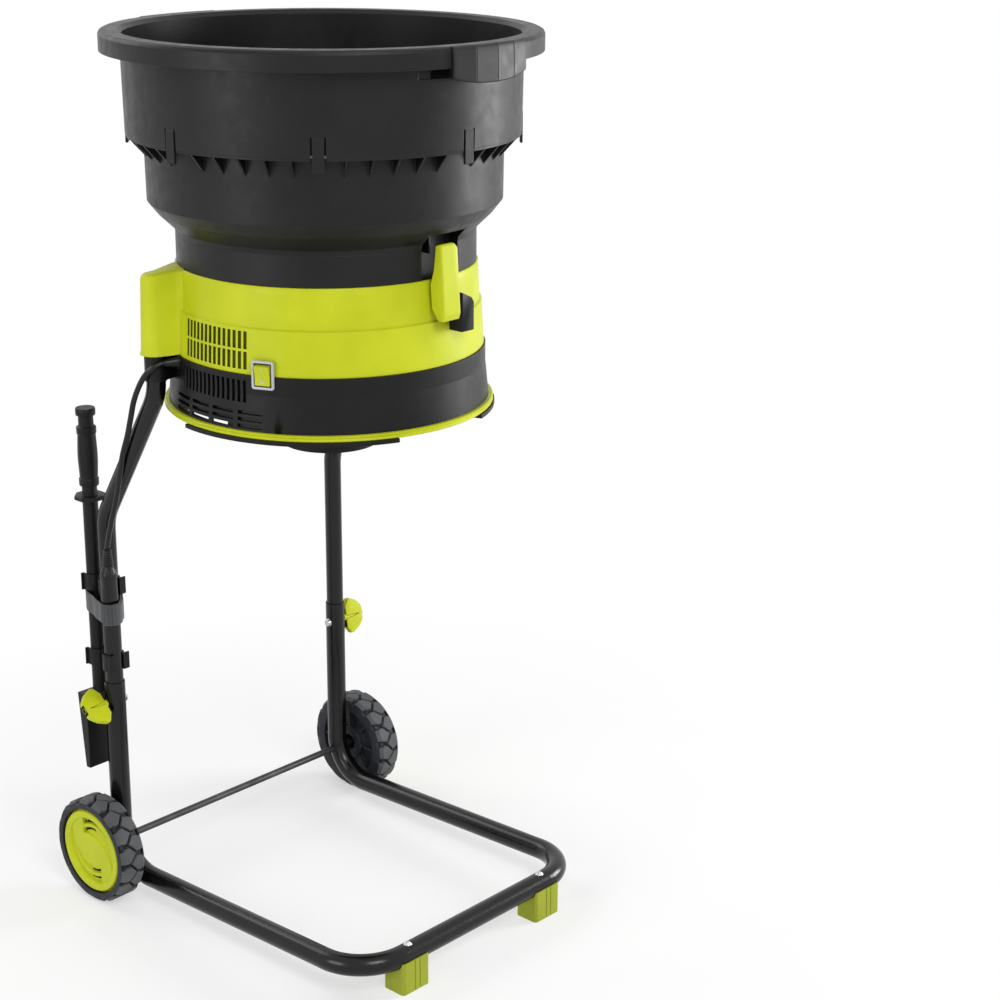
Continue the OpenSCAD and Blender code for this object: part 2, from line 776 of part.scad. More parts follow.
module base_casing() {
    spigot_in_r = casing_spigot_r - casing_wall;
    flare_top = casing_z + casing_flare_h;
    groove_top_r = casing_r + casing_flare * (1 - panel_groove_h / casing_flare_h);
    color(black) difference() {
        rotate_extrude() polygon([
            [casing_r + casing_flare, casing_z],
            [casing_r, flare_top],
            [casing_r, housing_z],
            [casing_spigot_r, housing_z],
            [casing_spigot_r, housing_z + casing_spigot_h],
            [spigot_in_r, housing_z + casing_spigot_h],
            [spigot_in_r, housing_z - casing_wall],
            [casing_in_r, housing_z - casing_wall],
            [casing_in_r, casing_ledge_z + casing_ledge_t],
            [casing_in_r - casing_ledge_w, casing_ledge_z + casing_ledge_t],
            [casing_in_r - casing_ledge_w, casing_ledge_z],
            [casing_in_r, casing_ledge_z],
            [casing_in_r + casing_flare, casing_z]]);
        vent_slots(casing_r + casing_flare, casing_wall + casing_flare,
            housing_z - low_vent_drop - low_vent_h, low_vent_h);
        wide_slots();
        switch_hole();
        gland_hole();
        rotate([0, 0, panel_angle]) rotate_extrude(angle = panel_groove_span) polygon([
            [casing_r + casing_flare - panel_groove, casing_z],
            [casing_r + casing_flare + overrun, casing_z],
            [casing_r + casing_flare + overrun, casing_z + panel_groove_h],
            [groove_top_r - panel_groove, casing_z + panel_groove_h]]);
        for (a = spider_angles) at_angle(a, spider_screw_r, casing_ledge_z - overrun)
            cylinder(r = spider_bolt_r + fit_gap, h = casing_ledge_t + 2 * overrun);
    }
    color(black) for (m = [0, 1]) mirror([m, 0, 0]) leg_boss();
}

// Bag ring with its groove, and the lips that hold a bag's hem below it
ring_in_w = 4;
ring_groove = 1.6;
lip_t = 5;
lip_w = 15;
lip_over = 2;
lip_span = 80;
lip_angles = [90, 210, 330];

module bag_ring() {
    r_in = casing_in_r - ring_in_w;
    color(lime) rotate_extrude() polygon([
        [r_in, ring_z],
        [ring_r - ring_groove, ring_z],
        [ring_r, ring_z + ring_groove],
        [ring_r - ring_groove, ring_z + ring_h / 2],
        [ring_r, ring_z + ring_h - ring_groove],
        [ring_r - ring_groove, ring_z + ring_h],
        [r_in, ring_z + ring_h]]);
}

module bag_lips() {
    color(black) for (a = lip_angles) rotate([0, 0, a - lip_span / 2]) translate([0, 0, ring_z - lip_t])
        rotate_extrude(angle = lip_span) translate([ring_r + lip_over - lip_w, 0]) square([lip_w, lip_t]);
}

// Motor mount: a spider with a ring round the pot and three arms up to the casing's ledge
spider_angles = [30, 150, 270];
spider_ring_w = 6;
spider_h = 20;
spider_arm_w = 24;
spider_bolt_r = 3;
spider_bolt_head_r = 5.5;
spider_bolt_head_h = 4;
spider_bolt_nose = 4;
spider_z = casing_ledge_z - spider_h;
spider_screw_r = casing_in_r - casing_ledge_w / 2;

module motor_spider() {
    ring_out = pot_r + fit_gap + spider_ring_w;
    color(black) difference() {
        union() {
            translate([0, 0, spider_z]) cylinder(r = ring_out, h = spider_h);
            for (a = spider_angles) rotate([0, 0, a])
                block([casing_in_r - seat_gap - spider_arm_w / 6 - pot_r, spider_arm_w, spider_h],
                    [pot_r, -spider_arm_w / 2, spider_z]);
        }
        translate([0, 0, spider_z - overrun]) cylinder(r = pot_r + fit_gap, h = spider_h + 2 * overrun);
        for (a = spider_angles) at_angle(a, spider_screw_r, spider_z - overrun)
            cylinder(r = spider_bolt_r + fit_gap, h = spider_h + 2 * overrun);
    }
}

module spider_screws() {
    color(steel) for (a = spider_angles) at_angle(a, spider_screw_r, spider_z - spider_bolt_head_h) {
        cylinder(r = spider_bolt_head_r, h = spider_bolt_head_h);
        cylinder(r = spider_bolt_r, h = spider_bolt_head_h + spider_h + casing_ledge_t + spider_bolt_nose);
    }
}

// Motor: pot, lid, stator, brushes and bearings stand still; shaft and what sits on it turn
pot_wall = 4;
pot_flange_w = 5;
bearing_r = 14;
bearing_h = 10;
bearing_wall = 5;
bearing_seat = 2;
lid_t = 8;
stator_h = 60;
stator_bore = 37;
armature_gap = 0.8;
armature_over = 2;
commutator_r = 17;
commutator_h = 16;
brush_w = 10;
brush_gap = 0.4;
fan_h = 20;
fan_t = 3;
fan_blades = 10;
fan_blade_t = 2.5;
stack_gap = 4;
shaft_end = 2;
motor_shaft_r = motor_shaft_d / 2;
shaft_bore_r = motor_shaft_r + run_gap;
pot_in_r = pot_r - pot_wall;
pot_z = casing_z - pot_drop;
pot_top_z = pot_z + pot_h;
low_bearing_z = pot_z + pot_wall + bearing_seat;
fan_z = low_bearing_z + bearing_h + stack_gap;
commutator_z = fan_z + fan_h + stack_gap;
stator_z = commutator_z + commutator_h + 2 * stack_gap;
lid_boss_h = bearing_h + bearing_seat;
high_bearing_z = pot_top_z + lid_t - bearing_seat - bearing_h;
flange_slots = 8;
slot_w = 7;
slot_in_share = 0.5;
slot_out_share = 0.85;

module motor_pot() {
    color(black) difference() {
        union() {
            translate([0, 0, pot_z]) difference() {
                cylinder(r = pot_r, h = pot_h);
                translate([0, 0, pot_wall]) cylinder(r = pot_in_r, h = pot_h);
            }
            translate([0, 0, pot_z]) cylinder(r = bearing_r + bearing_wall, h = pot_wall + lid_boss_h);
            translate([0, 0, casing_ledge_z + fit_gap]) ring(pot_r + pot_flange_w, pot_in_r, pot_flange_w);
        }
        translate([0, 0, low_bearing_z]) cylinder(r = bearing_r + run_gap, h = pot_h);
        translate([0, 0, pot_z + pot_wall]) cylinder(r = motor_shaft_r + stack_gap, h = pot_h);
        for (i = [0 : flange_slots - 1]) rotate([0, 0, i * 360 / flange_slots])
            block([pot_in_r * (slot_out_share - slot_in_share), slot_w, pot_wall + 2 * overrun],
                [pot_in_r * slot_in_share, -slot_w / 2, pot_z - overrun]);
    }
}

module motor_lid() {
    color(black) translate([0, 0, pot_top_z]) difference() {
        union() {
            cylinder(r = pot_r, h = lid_t);
            translate([0, 0, lid_t - lid_boss_h - bearing_seat])
                cylinder(r = bearing_r + bearing_wall, h = lid_boss_h);
        }
        translate([0, 0, lid_t - bearing_seat - bearing_h - overrun - bearing_seat])
            cylinder(r = bearing_r + run_gap, h = bearing_h + overrun + bearing_seat);
        cylinder(r = motor_shaft_r + stack_gap / 2, h = lid_t + overrun);
    }
}

module motor_stator() {
    color([0.5, 0.3, 0.2]) translate([0, 0, stator_z]) ring(pot_in_r - run_gap, stator_bore, stator_h);
}

module carbon_brushes() {
    start = commutator_r + brush_gap;
    color([0.2, 0.2, 0.2]) for (s = [0, 180]) rotate([0, 0, s])
        block([pot_in_r - brush_gap - start, brush_w, brush_w],
            [start, -brush_w / 2, commutator_z + (commutator_h - brush_w) / 2]);
}

module bearing(z) {
    color(steel) translate([0, 0, z]) ring(bearing_r, shaft_bore_r, bearing_h);
}

module lower_bearing() { bearing(low_bearing_z); }
module upper_bearing() { bearing(high_bearing_z); }

module armature() {
    color([0.55, 0.35, 0.2]) translate([0, 0, stator_z - armature_over])
        ring(stator_bore - armature_gap, shaft_bore_r, stator_h + 2 * armature_over);
}

module commutator() {
    color([0.7, 0.45, 0.25]) translate([0, 0, commutator_z]) ring(commutator_r, shaft_bore_r, commutator_h);
}

module cooling_fan() {
    fan_r = pot_in_r - 2 * stack_gap;
    boss = motor_shaft_r + stack_gap;
    color(black) translate([0, 0, fan_z]) difference() {
        union() {
            cylinder(r = boss, h = fan_h);
            cylinder(r = fan_r, h = fan_t);
            for (i = [0 : fan_blades - 1]) rotate([0, 0, i * 360 / fan_blades])
                block([fan_r - boss - fan_t, fan_blade_t, fan_h], [boss - fan_t / 2, -fan_blade_t / 2, 0]);
        }
        translate([0, 0, -overrun]) cylinder(r = shaft_bore_r, h = fan_h + 2 * overrun);
    }
}

// Cutter: a disc on the shaft with posts that each hold two lines
disc_lift = 6;
disc_t = 5;
disc_hub_r = 22;
disc_hub_h = 12;
post_in = 12;
post_r = 7;
post_h = 12;
line_spread = 5;
line_rise = 6;
cutter_nut_r = 10;
cutter_nut_h = 8;
disc_z = pot_top_z + lid_t + disc_lift;
post_z = disc_z + disc_t;
line_z = post_z + line_rise;
nut_top_z = disc_z + disc_hub_h + cutter_nut_h;
shaft_z = low_bearing_z + shaft_end - bearing_seat;

module motor_shaft() {
    color(steel) translate([0, 0, shaft_z]) cylinder(r = motor_shaft_r, h = nut_top_z + shaft_end - shaft_z);
}

module cutting_disc() {
    color(black) translate([0, 0, disc_z]) difference() {
        union() {
            cylinder(r = disc_r, h = disc_t);
            cylinder(r = disc_hub_r, h = disc_hub_h);
        }
        translate([0, 0, -overrun]) cylinder(r = shaft_bore_r, h = disc_hub_h + 2 * overrun);
    }
}

// A line leaves its post sideways by half the spread and runs outwards past the disc
module line_pair(r, sink) {
    for (s = [-1, 1]) rotate([0, 90, s * line_spread])
        translate([0, s * post_r / 3, post_r / 2 - sink])
            cylinder(r = r, h = line_reach - disc_r + post_in - post_r / 2 + 2 * sink);
}

module line_posts() {
    color(lime) for (i = [0 : post_count - 1])
        at_angle(i * 360 / post_count, disc_r - post_in, 0) difference() {
            translate([0, 0, post_z]) cylinder(r = post_r, h = post_h);
            translate([0, 0, line_z]) line_pair(line_d / 2 + run_gap, run_gap);
        }
}

module cutting_lines() {
    color([0.9, 0.45, 0.1]) for (i = [0 : post_count - 1])
        at_angle(i * 360 / post_count, disc_r - post_in, line_z) line_pair(line_d / 2, 0);
}

module disc_nut() {
    color(steel) translate([0, 0, disc_z + disc_hub_h]) difference() {
        cylinder(r = cutter_nut_r, h = cutter_nut_h, $fn = 6);
        translate([0, 0, -overrun]) cylinder(r = shaft_bore_r, h = cutter_nut_h + 2 * overrun);
    }
}

// Upper housing: a stepped round wall with a collar, vents and a socket for each leg
collar_lip_h = 6;
step_chamfer = 1;
socket_top_drop = 6;
socket_front_angle = 21.5;
socket_rear_angle = 40;
vent_h = 22;
vent_row_gap = 3.4;
vent_rise = 6.5;
leg_out = norm([track_x, socket_y]);
socket_slope = atan(socket_top_drop / (leg_out + socket_r - collar_r));

module socket_block(s) {
    front = [s * collar_r * cos(socket_front_angle), collar_r * sin(socket_front_angle)];
    rear = [s * collar_r * cos(socket_rear_angle), collar_r * sin(socket_rear_angle)];
    side = unit(front - rear);
    seat = [s * track_x, socket_y];
    translate([0, 0, housing_z]) linear_extrude(housing_h) union() {
        translate(seat) circle(r = socket_r);
        polygon([front, seat + side * socket_r, seat - side * socket_r, rear]);
    }
}

module housing_body() {
    rotate_extrude() polygon([
        [0, housing_z],
        [housing_base_r, housing_z],
        [band_r, step_z - step_chamfer],
        [step_r, step_z],
        [collar_r, neck_z],
        [0, neck_z]]);
}

module upper_housing() {
    lip_in = spigot_r + lift_gap;
    color(lime) difference() {
        union() {
            housing_body();
            for (s = [-1, 1]) socket_block(s);
        }
        rotate_extrude() polygon([
            [0, housing_z - overrun],
            [housing_base_r - housing_wall, housing_z - overrun],
            [housing_base_r - housing_wall, housing_z],
            [band_r - housing_wall, step_z - step_chamfer],
            [step_r - housing_wall, step_z],
            [collar_r - housing_wall, neck_z - 2 * collar_lip_h],
            [lip_in, neck_z - collar_lip_h],
            [lip_in, neck_z + overrun],
            [0, neck_z + overrun]]);
        for (s = [-1, 1]) {
            translate([s * track_x, socket_y, housing_z - overrun])
                cylinder(r = upper_r_tube + fit_gap, h = socket_depth + overrun);
            translate([s * track_x, socket_y, socket_screw_z]) rotate([-90, 0, 0])
                cylinder(r = socket_screw_r + fit_gap, h = 2 * socket_r);
            rotate([0, 0, atan2(socket_y, s * track_x)]) translate([collar_r, 0, neck_z])
                rotate([0, socket_slope, 0])
                    block([4 * socket_r, 6 * socket_r, 2 * socket_r], [0, -3 * socket_r, 0]);
        }
        vent_slots(housing_base_r, housing_base_r - band_r + 2 * housing_wall,
            housing_z + vent_rise, vent_h);
        vent_slots(housing_base_r, housing_base_r - band_r + 2 * housing_wall,
            housing_z + vent_rise + vent_h + vent_row_gap, vent_h);
        switch_hole();
        gland_hole();
    }
}

module socket_screws() {
    color(steel) for (s = [-1, 1]) translate([s * track_x, socket_y, socket_screw_z]) rotate([-90, 0, 0]) {
        translate([0, 0, upper_r_tube - tube_wall])
            cylinder(r = socket_screw_r, h = socket_r - upper_r_tube + tube_wall);
        translate([0, 0, socket_r])
            cylinder(r1 = 2 * socket_screw_r, r2 = socket_screw_r, h = socket_screw_r);
    }
}

// Power switch across the seam of housing and casing
bezel_t = 3;
bezel_bow = 0.7;
rocker_gap = 0.5;
rocker_w = switch_w - 2 * (rocker_gap + housing_wall / 2);
rocker_h = switch_h - 2 * (rocker_gap + housing_wall / 2);
rocker_rest = 8;
rocker_t = 4;
rocker_rise = 3;
rocker_pivot = 1;
rocker_well = 12;
bezel_x = casing_r + bezel_bow - bezel_w * bezel_w / (8 * casing_r);
rocker_x = casing_r + rocker_pivot;

module on_switch(x) {
    at_angle(switch_angle, x, switch_z) children();
}

module switch_body() {
    color([0.1, 0.1, 0.1]) on_switch(bezel_x) difference() {
        block([switch_depth, switch_w, switch_h], [-switch_depth, -switch_w / 2, -switch_h / 2]);
        block([rocker_well + overrun, rocker_w + 2 * rocker_gap, rocker_h + 2 * rocker_gap],
            [-rocker_well, -rocker_w / 2 - rocker_gap, -rocker_h / 2 - rocker_gap]);
    }
}

module switch_bezel() {
    color([0.8, 0.82, 0.85]) on_switch(bezel_x) difference() {
        block([bezel_t, bezel_w, bezel_h], [0, -bezel_w / 2, -bezel_h / 2]);
        block([bezel_t + 2 * overrun, rocker_w + 2 * rocker_gap, rocker_h + 2 * rocker_gap],
            [-overrun, -rocker_w / 2 - rocker_gap, -rocker_h / 2 - rocker_gap]);
    }
}

module power_rocker() {
    half = rocker_h / 2;
    color([0.85, 0.9, 0.2]) on_switch(rocker_x) rotate([0, rocker_rest, 0])
        translate([0, rocker_w / 2, 0]) rotate([90, 0, 0]) linear_extrude(rocker_w)
            polygon([
                [-rocker_t, -half + rocker_gap],
                [rocker_t, -half + rocker_gap],
                [rocker_rise, 0],
                [rocker_t, half - rocker_gap],
                [-rocker_t, half - rocker_gap]]);
}

// Latch at the front: a lever on a pin, held in a hinge block beside it
pivot_out = 12;
pivot_rise = 7;
lever_round = 9;
lever_gap = 1.8;
lever_t = 22;
lever_top_t = 8;
lever_top_out = 10;
lever_foot = 9;
lever_chamfer = 8;
nose_rise = 76;
nose_h = 9;
nose_in = 12;
nose_w = 16;
pin_r = 2.5;
block_gap = 5;
block_low = 18;
block_high = 33;
block_slope = 15;
block_t = 21.5;
micro_w = 10;
micro_h = 14;
micro_d = 8;
micro_sink = 3;
block_wall = 3;
pivot_y = -band_r - pivot_out;
pivot_z = step_z + pivot_rise;
block_x = lever_w / 2 + block_gap;

// The lever's side view: it stands clear of the housing and leans in towards its top
function lever_side() = [
    [lever_round, 0],
    [pivot_out - lever_gap, lever_round],
    [pivot_out - lever_gap + band_step, lever_l / 2],
    [pivot_out, nose_rise],
    [pivot_out + nose_in, nose_rise],
    [pivot_out + nose_in, nose_rise + nose_h],
    [pivot_out - lever_top_out + lever_top_t, lever_l - lever_top_t / 2],
    [pivot_out - lever_top_out - lever_top_t, lever_l],
    [pivot_out - lever_gap - lever_t, 0],
    [pivot_out - lever_gap - lever_t + lever_chamfer / 2, -lever_foot],
    [0, -lever_foot]];

module at_pivot(x) {
    translate([x, pivot_y, pivot_z]) rotate([90, 0, 90]) children();
}

module latch_lever() {
    color(lime) difference() {
        union() {
            at_pivot(-lever_w / 2) linear_extrude(lever_w) polygon(lever_side());
            at_pivot(-lever_w / 2) cylinder(r = lever_round, h = lever_w);
        }
        at_pivot(-lever_w / 2 - overrun) cylinder(r = pin_r + run_gap, h = lever_w + 2 * overrun);
        block([lever_w - nose_w, nose_in + overrun, nose_h + 2 * overrun],
            [-lever_w / 2 - seat_gap, pivot_y + pivot_out, pivot_z + nose_rise - overrun]);
        translate([-lever_w / 2, pivot_y - lever_t, pivot_z - lever_foot]) rotate([0, 45, 0])
            block([lever_chamfer, 2 * lever_t, lever_chamfer],
                [-lever_chamfer / 2, -lever_t / 2, -lever_chamfer / 2]);
    }
}

module latch_pin() {
    color(steel) at_pivot(-lever_w / 2 - seat_gap)
        cylinder(r = pin_r, h = lever_w / 2 + seat_gap + block_x + block_w - block_wall);
}

module latch_block() {
    color(black) difference() {
        translate([block_x, -band_r, pivot_z]) rotate([90, 0, 0]) translate([0, 0, -band_r / 4])
            linear_extrude(block_t + band_r / 4) polygon([
                [0, -block_low],
                [block_w, -block_low],
                [block_w, block_high - block_slope],
                [0, block_high]]);
        housing_body();
        at_pivot(block_x - overrun) cylinder(r = pin_r + run_gap, h = block_w - block_wall + overrun);
        translate([0, -band_r, pivot_z])
            block([micro_w + 2 * fit_gap, micro_d + 2 * fit_gap, micro_h + 2 * fit_gap],
                [block_x + block_wall - fit_gap, -micro_sink - micro_d - fit_gap,
                 block_wall - fit_gap + pin_r]);
    }
}

module interlock_switch() {
    color([0.1, 0.1, 0.1]) translate([0, -band_r, pivot_z])
        block([micro_w, micro_d, micro_h], [block_x + block_wall, -micro_sink - micro_d, block_wall + pin_r]);
}

// Lower hopper ring: ledge with gussets, wall, shoulder, neck and spigot, with a pocket for the lever
lower_draft = 1;
ledge_t = 3;
ledge_in = 0.5;
gusset_h = 25;
gusset_t = 2.5;
gusset_in = 1;
tongue_w = 14;
tongue_slot = 2.5;
tongue_up = 25;
tongue_down = 17;
tongue_sink = 2.5;
tongue_proud = 0.8;
shoulder_mid_share = 0.62;
shoulder_out_share = 0.62;
shoulder_foot = 6;
shoulder_foot_w = 1.6;
spigot_lap = 4;
pocket_left = 22;
pocket_right = 47;
pocket_depth = 22;
pocket_up = 58;
pocket_wall = 2.5;
pocket_rib_x = -8;
pocket_rib_h = 26;
ledge_r = upper_r - ledge_in;
pocket_top_z = neck_z + pocket_up;
gusset_step = 360 / (tongue_count * (gussets_between + 1));

function hopper_outside() = [
    [spigot_r, spigot_z],
    [spigot_r, neck_z + seat_gap],
    [neck_r, neck_z + seat_gap],
    [neck_r, shoulder_z],
    [neck_r + shoulder_foot_w, shoulder_z + shoulder_foot],
    [neck_r + (lower_r - neck_r) * shoulder_out_share, shoulder_z + shoulder_h * shoulder_mid_share],
    [lower_r - lower_draft, lower_z],
    [lower_r, ledge_z - ledge_t]];

function reversed(list) = [for (i = [len(list) - 1 : -1 : 0]) list[i]];

// The inner wall follows the outer one, and the step from spigot to neck lies higher inside
function hopper_inside() = let (out = hopper_outside(), lap_z = neck_z + seat_gap + spigot_lap) concat(
    [[spigot_r - hopper_wall, spigot_z],
     [spigot_r - hopper_wall, lap_z],
     [neck_r - hopper_wall, lap_z + spigot_lap]],
    [for (i = [3 : len(out) - 1]) [out[i][0] - hopper_wall, out[i][1]]]);

module hopper_solid() {
    rotate_extrude() polygon(concat([[0, spigot_z]], hopper_outside(), [[0, ledge_z - ledge_t]]));
}

module pocket_block(extra) {
    out = neck_r / 4;
    block([pocket_left + pocket_right + 2 * extra, pocket_depth + extra + out,
            pocket_top_z + extra - spigot_z + overrun],
        [-pocket_left - extra, -neck_r - out, spigot_z - overrun]);
}

function part_of(list, from, to) = [for (i = [from : to]) list[i]];

// The neck stands in the housing and carries the ring above it
module hopper_neck() {
    color(black) difference() {
        rotate_extrude() polygon(concat(
            part_of(hopper_outside(), 0, 3),
            reversed(part_of(hopper_inside(), 0, 3))));
        pocket_block(pocket_wall);
    }
}

// The pocket that the latch's nose reaches into, set in the neck
module latch_pocket() {
    color(black) difference() {
        intersection() {
            hopper_solid();
            pocket_block(pocket_wall);
        }
        pocket_block(0);
    }
    color(black) block([pocket_wall, pocket_depth - pocket_wall / 2, pocket_rib_h + pocket_wall / 2],
        [pocket_rib_x, -neck_r + pocket_wall, pocket_top_z - pocket_rib_h]);
}

module lower_hopper() {
    last = len(hopper_outside()) - 1;
    outside = concat(part_of(hopper_outside(), 3, last), [[ledge_r, ledge_z - ledge_t], [ledge_r, ledge_z]]);
    inside = concat([[lower_r - hopper_wall, ledge_z]], reversed(part_of(hopper_inside(), 3, last)));
    color(black) difference() {
        union() {
            rotate_extrude() polygon(concat(outside, inside));
            for (i = [0 : tongue_count * (gussets_between + 1) - 1])
                if (i % (gussets_between + 1) != 0) rotate([0, 0, i * gusset_step])
                    translate([0, gusset_t / 2, ledge_z - ledge_t]) rotate([90, 0, 0])
                        linear_extrude(gusset_t) polygon([
                            [lower_r - hopper_wall / 2, ledge_t / 2],
                            [ledge_r - gusset_in, ledge_t / 2],
                            [ledge_r - gusset_in, 0],
                            [lower_r - hopper_wall / 2, -gusset_h]]);
        }
        pocket_block(pocket_wall);
        for (i = [0 : tongue_count - 1]) rotate([0, 0, i * 360 / tongue_count])
            block([2 * tongue_sink + overrun, tongue_w + 2 * tongue_slot, ledge_t + 2 * overrun],
                [ledge_r - 2 * tongue_sink, -tongue_w / 2 - tongue_slot, ledge_z - ledge_t - overrun]);
    }
}

// Upper hopper ring: wall, flange with skirt, two hand grips and the snap tongues
rim_t = 3;
rim_round = 5;
grip_angles = [-87.5, 92.5];
grip_span = 26.8;
grip_slot_span = 40;
grip_slot_h = 14;
grip_drop = 12;
grip_proud = 2;
grip_back = 1.2;

module upper_hopper() {
    skirt_z = top_z - rim_h;
    color(black) difference() {
        union() {
            rotate_extrude() polygon([
                [upper_r - hopper_wall, ledge_z],
                [upper_r, ledge_z],
                [wall_top_r, top_z - rim_t - rim_round],
                [wall_top_r + rim_t, top_z - rim_t],
                [rim_r - rim_t, top_z - rim_t],
                [rim_r - rim_t, skirt_z],
                [rim_r, skirt_z],
                [rim_r, top_z - rim_round],
                [rim_r - rim_round / 3, top_z - rim_round / 3],
                [rim_r - rim_round, top_z],
                [wall_top_r + rim_t, top_z],
                [wall_top_r - hopper_wall, top_z - rim_round]]);
            for (a = grip_angles) rotate([0, 0, a - grip_span / 2])
                rotate_extrude(angle = grip_span) polygon([
                    [rim_r - rim_t - grip_back, skirt_z - grip_drop],
                    [rim_r + grip_proud, skirt_z - grip_drop],
                    [rim_r + grip_proud, top_z - rim_round],
                    [rim_r - rim_t - grip_back, top_z - rim_t / 2]]);
            for (i = [0 : tongue_count - 1]) rotate([0, 0, i * 360 / tongue_count])
                block([tongue_sink + tongue_proud, tongue_w, tongue_down + tongue_up - tongue_slot],
                    [upper_r - tongue_sink, -tongue_w / 2, ledge_z - tongue_down]);
        }
        for (a = grip_angles) rotate([0, 0, a - grip_slot_span / 2])
            translate([0, 0, skirt_z - grip_slot_h]) rotate_extrude(angle = grip_slot_span)
                translate([wall_top_r - hopper_wall / 2, 0]) square([2 * hopper_wall, grip_slot_h]);
        for (i = [0 : tongue_count - 1], s = [-1, 1]) rotate([0, 0, i * 360 / tongue_count])
            block([4 * hopper_wall, tongue_slot, tongue_up + overrun],
                [upper_r - 2 * hopper_wall, s * (tongue_w + tongue_slot) / 2 - tongue_slot / 2,
                 ledge_z - overrun]);
    }
}

base_frame();
axle();
axle_nuts();
left_wheel();
right_wheel();
left_hub_cap();
right_hub_cap();
front_feet();
foot_screws();
left_leg();
right_leg();
leg_bolts();
left_knob();
right_knob();
socket_screws();
tool_clips();
tamper_shaft();
tamper_grip();
tamper_paddle();
cord_strap();
cord_gland();
power_cord();
plug_body();
plug_blades();
base_casing();
bag_ring();
bag_lips();
motor_spider();
spider_screws();
motor_pot();
motor_lid();
motor_stator();
carbon_brushes();
lower_bearing();
upper_bearing();
motor_shaft();
armature();
commutator();
cooling_fan();
cutting_disc();
line_posts();
cutting_lines();
disc_nut();
upper_housing();
switch_body();
switch_bezel();
power_rocker();
latch_block();
latch_pin();
latch_lever();
interlock_switch();
hopper_neck();
latch_pocket();
lower_hopper();
upper_hopper();
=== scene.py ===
import json
import math

import bmesh
import bpy
import numpy as np
from mathutils import Matrix, Vector


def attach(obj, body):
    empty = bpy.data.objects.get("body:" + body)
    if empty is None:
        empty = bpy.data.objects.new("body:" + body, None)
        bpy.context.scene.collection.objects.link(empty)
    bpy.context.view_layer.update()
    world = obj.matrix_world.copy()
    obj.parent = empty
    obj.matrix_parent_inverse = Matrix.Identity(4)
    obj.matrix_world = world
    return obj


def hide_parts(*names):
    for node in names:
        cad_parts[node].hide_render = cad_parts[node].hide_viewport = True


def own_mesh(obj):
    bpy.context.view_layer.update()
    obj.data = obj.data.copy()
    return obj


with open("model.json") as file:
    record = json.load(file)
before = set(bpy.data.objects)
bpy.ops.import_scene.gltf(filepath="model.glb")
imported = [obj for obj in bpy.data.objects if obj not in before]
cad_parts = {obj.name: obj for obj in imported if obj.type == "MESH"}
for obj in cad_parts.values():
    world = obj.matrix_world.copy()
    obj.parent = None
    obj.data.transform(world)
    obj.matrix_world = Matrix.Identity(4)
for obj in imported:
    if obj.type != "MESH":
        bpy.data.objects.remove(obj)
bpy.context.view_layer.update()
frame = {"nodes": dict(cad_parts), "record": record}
nodes = frame["nodes"]
scene = bpy.context.scene
scene.view_settings.view_transform = "Standard"


# camera: place, pan from +Y towards +X, pitch down and roll give the axes of the view
view = {"place": (-1.8535, -1.9800, 1.4610), "pan": 47.92, "pitch": 18.06, "roll": 0.45, "lens": 75.78,
        "sensor": 36, "reach": 50}


def makeCamera():
    pan, pitch, roll = (math.radians(view[k]) for k in ("pan", "pitch", "roll"))
    ahead = Vector((math.sin(pan) * math.cos(pitch), math.cos(pan) * math.cos(pitch), -math.sin(pitch)))
    right = Vector((math.cos(pan), -math.sin(pan), 0))
    up = right.cross(ahead)
    rolledRight = right * math.cos(roll) + up * math.sin(roll)
    rolledUp = up * math.cos(roll) - right * math.sin(roll)
    data = bpy.data.cameras.new("camera")
    data.lens = view["lens"]
    data.sensor_width = view["sensor"]
    data.clip_end = view["reach"]
    camera = bpy.data.objects.new("camera", data)
    turn = Matrix((rolledRight, rolledUp, -ahead)).transposed().to_4x4()
    camera.matrix_world = Matrix.Translation(view["place"]) @ turn
    scene.collection.objects.link(camera)
    scene.camera = camera


makeCamera()
print("camera set")


# finishes: every builder makes one node tree on Object coordinates
def linear(r, g, b):
    c = np.array([r, g, b], float) / 255
    return tuple(np.where(c <= 0.04045, c / 12.92, ((c + 0.055) / 1.055) ** 2.4)) + (1.0,)


def newMaterial(name):
    material = bpy.data.materials.new(name)
    material.use_nodes = True
    tree = material.node_tree
    return material, tree, tree.nodes["Principled BSDF"]


def addNode(tree, kind, **values):
    node = tree.nodes.new(kind)
    for key, value in values.items():
        if hasattr(node, key):
            setattr(node, key, value)
        else:
            node.inputs[key].default_value = value
    return node


def link(source, socket):
    socket.id_data.links.new(source, socket)


def objectPlace(tree):
    coords = tree.nodes.get("coords")
    if coords is None:
        coords = addNode(tree, "ShaderNodeTexCoord")
        coords.name = "coords"
    return coords.outputs["Object"]


def noise(tree, scale, detail=3.0, roughness=0.55):
    texture = addNode(tree, "ShaderNodeTexNoise", Scale=scale, Detail=detail, Roughness=roughness)
    link(objectPlace(tree), texture.inputs["Vector"])
    return texture.outputs["Fac"]


def ramp(tree, source, low, high, fromLow=0.3, fromHigh=0.7):
    node = addNode(tree, "ShaderNodeMapRange")
    for socket, value in (("From Min", fromLow), ("From Max", fromHigh), ("To Min", low), ("To Max", high)):
        node.inputs[socket].default_value = value
    link(source, node.inputs["Value"])
    return node.outputs["Result"]


def mixColour(tree, factor, first, second):
    node = addNode(tree, "ShaderNodeMix", data_type="RGBA")
    for socket, value in ((node.inputs[6], first), (node.inputs[7], second)):
        if hasattr(value, "is_linked"):
            link(value, socket)
        else:
            socket.default_value = value
    link(factor, node.inputs[0])
    return node.outputs[2]


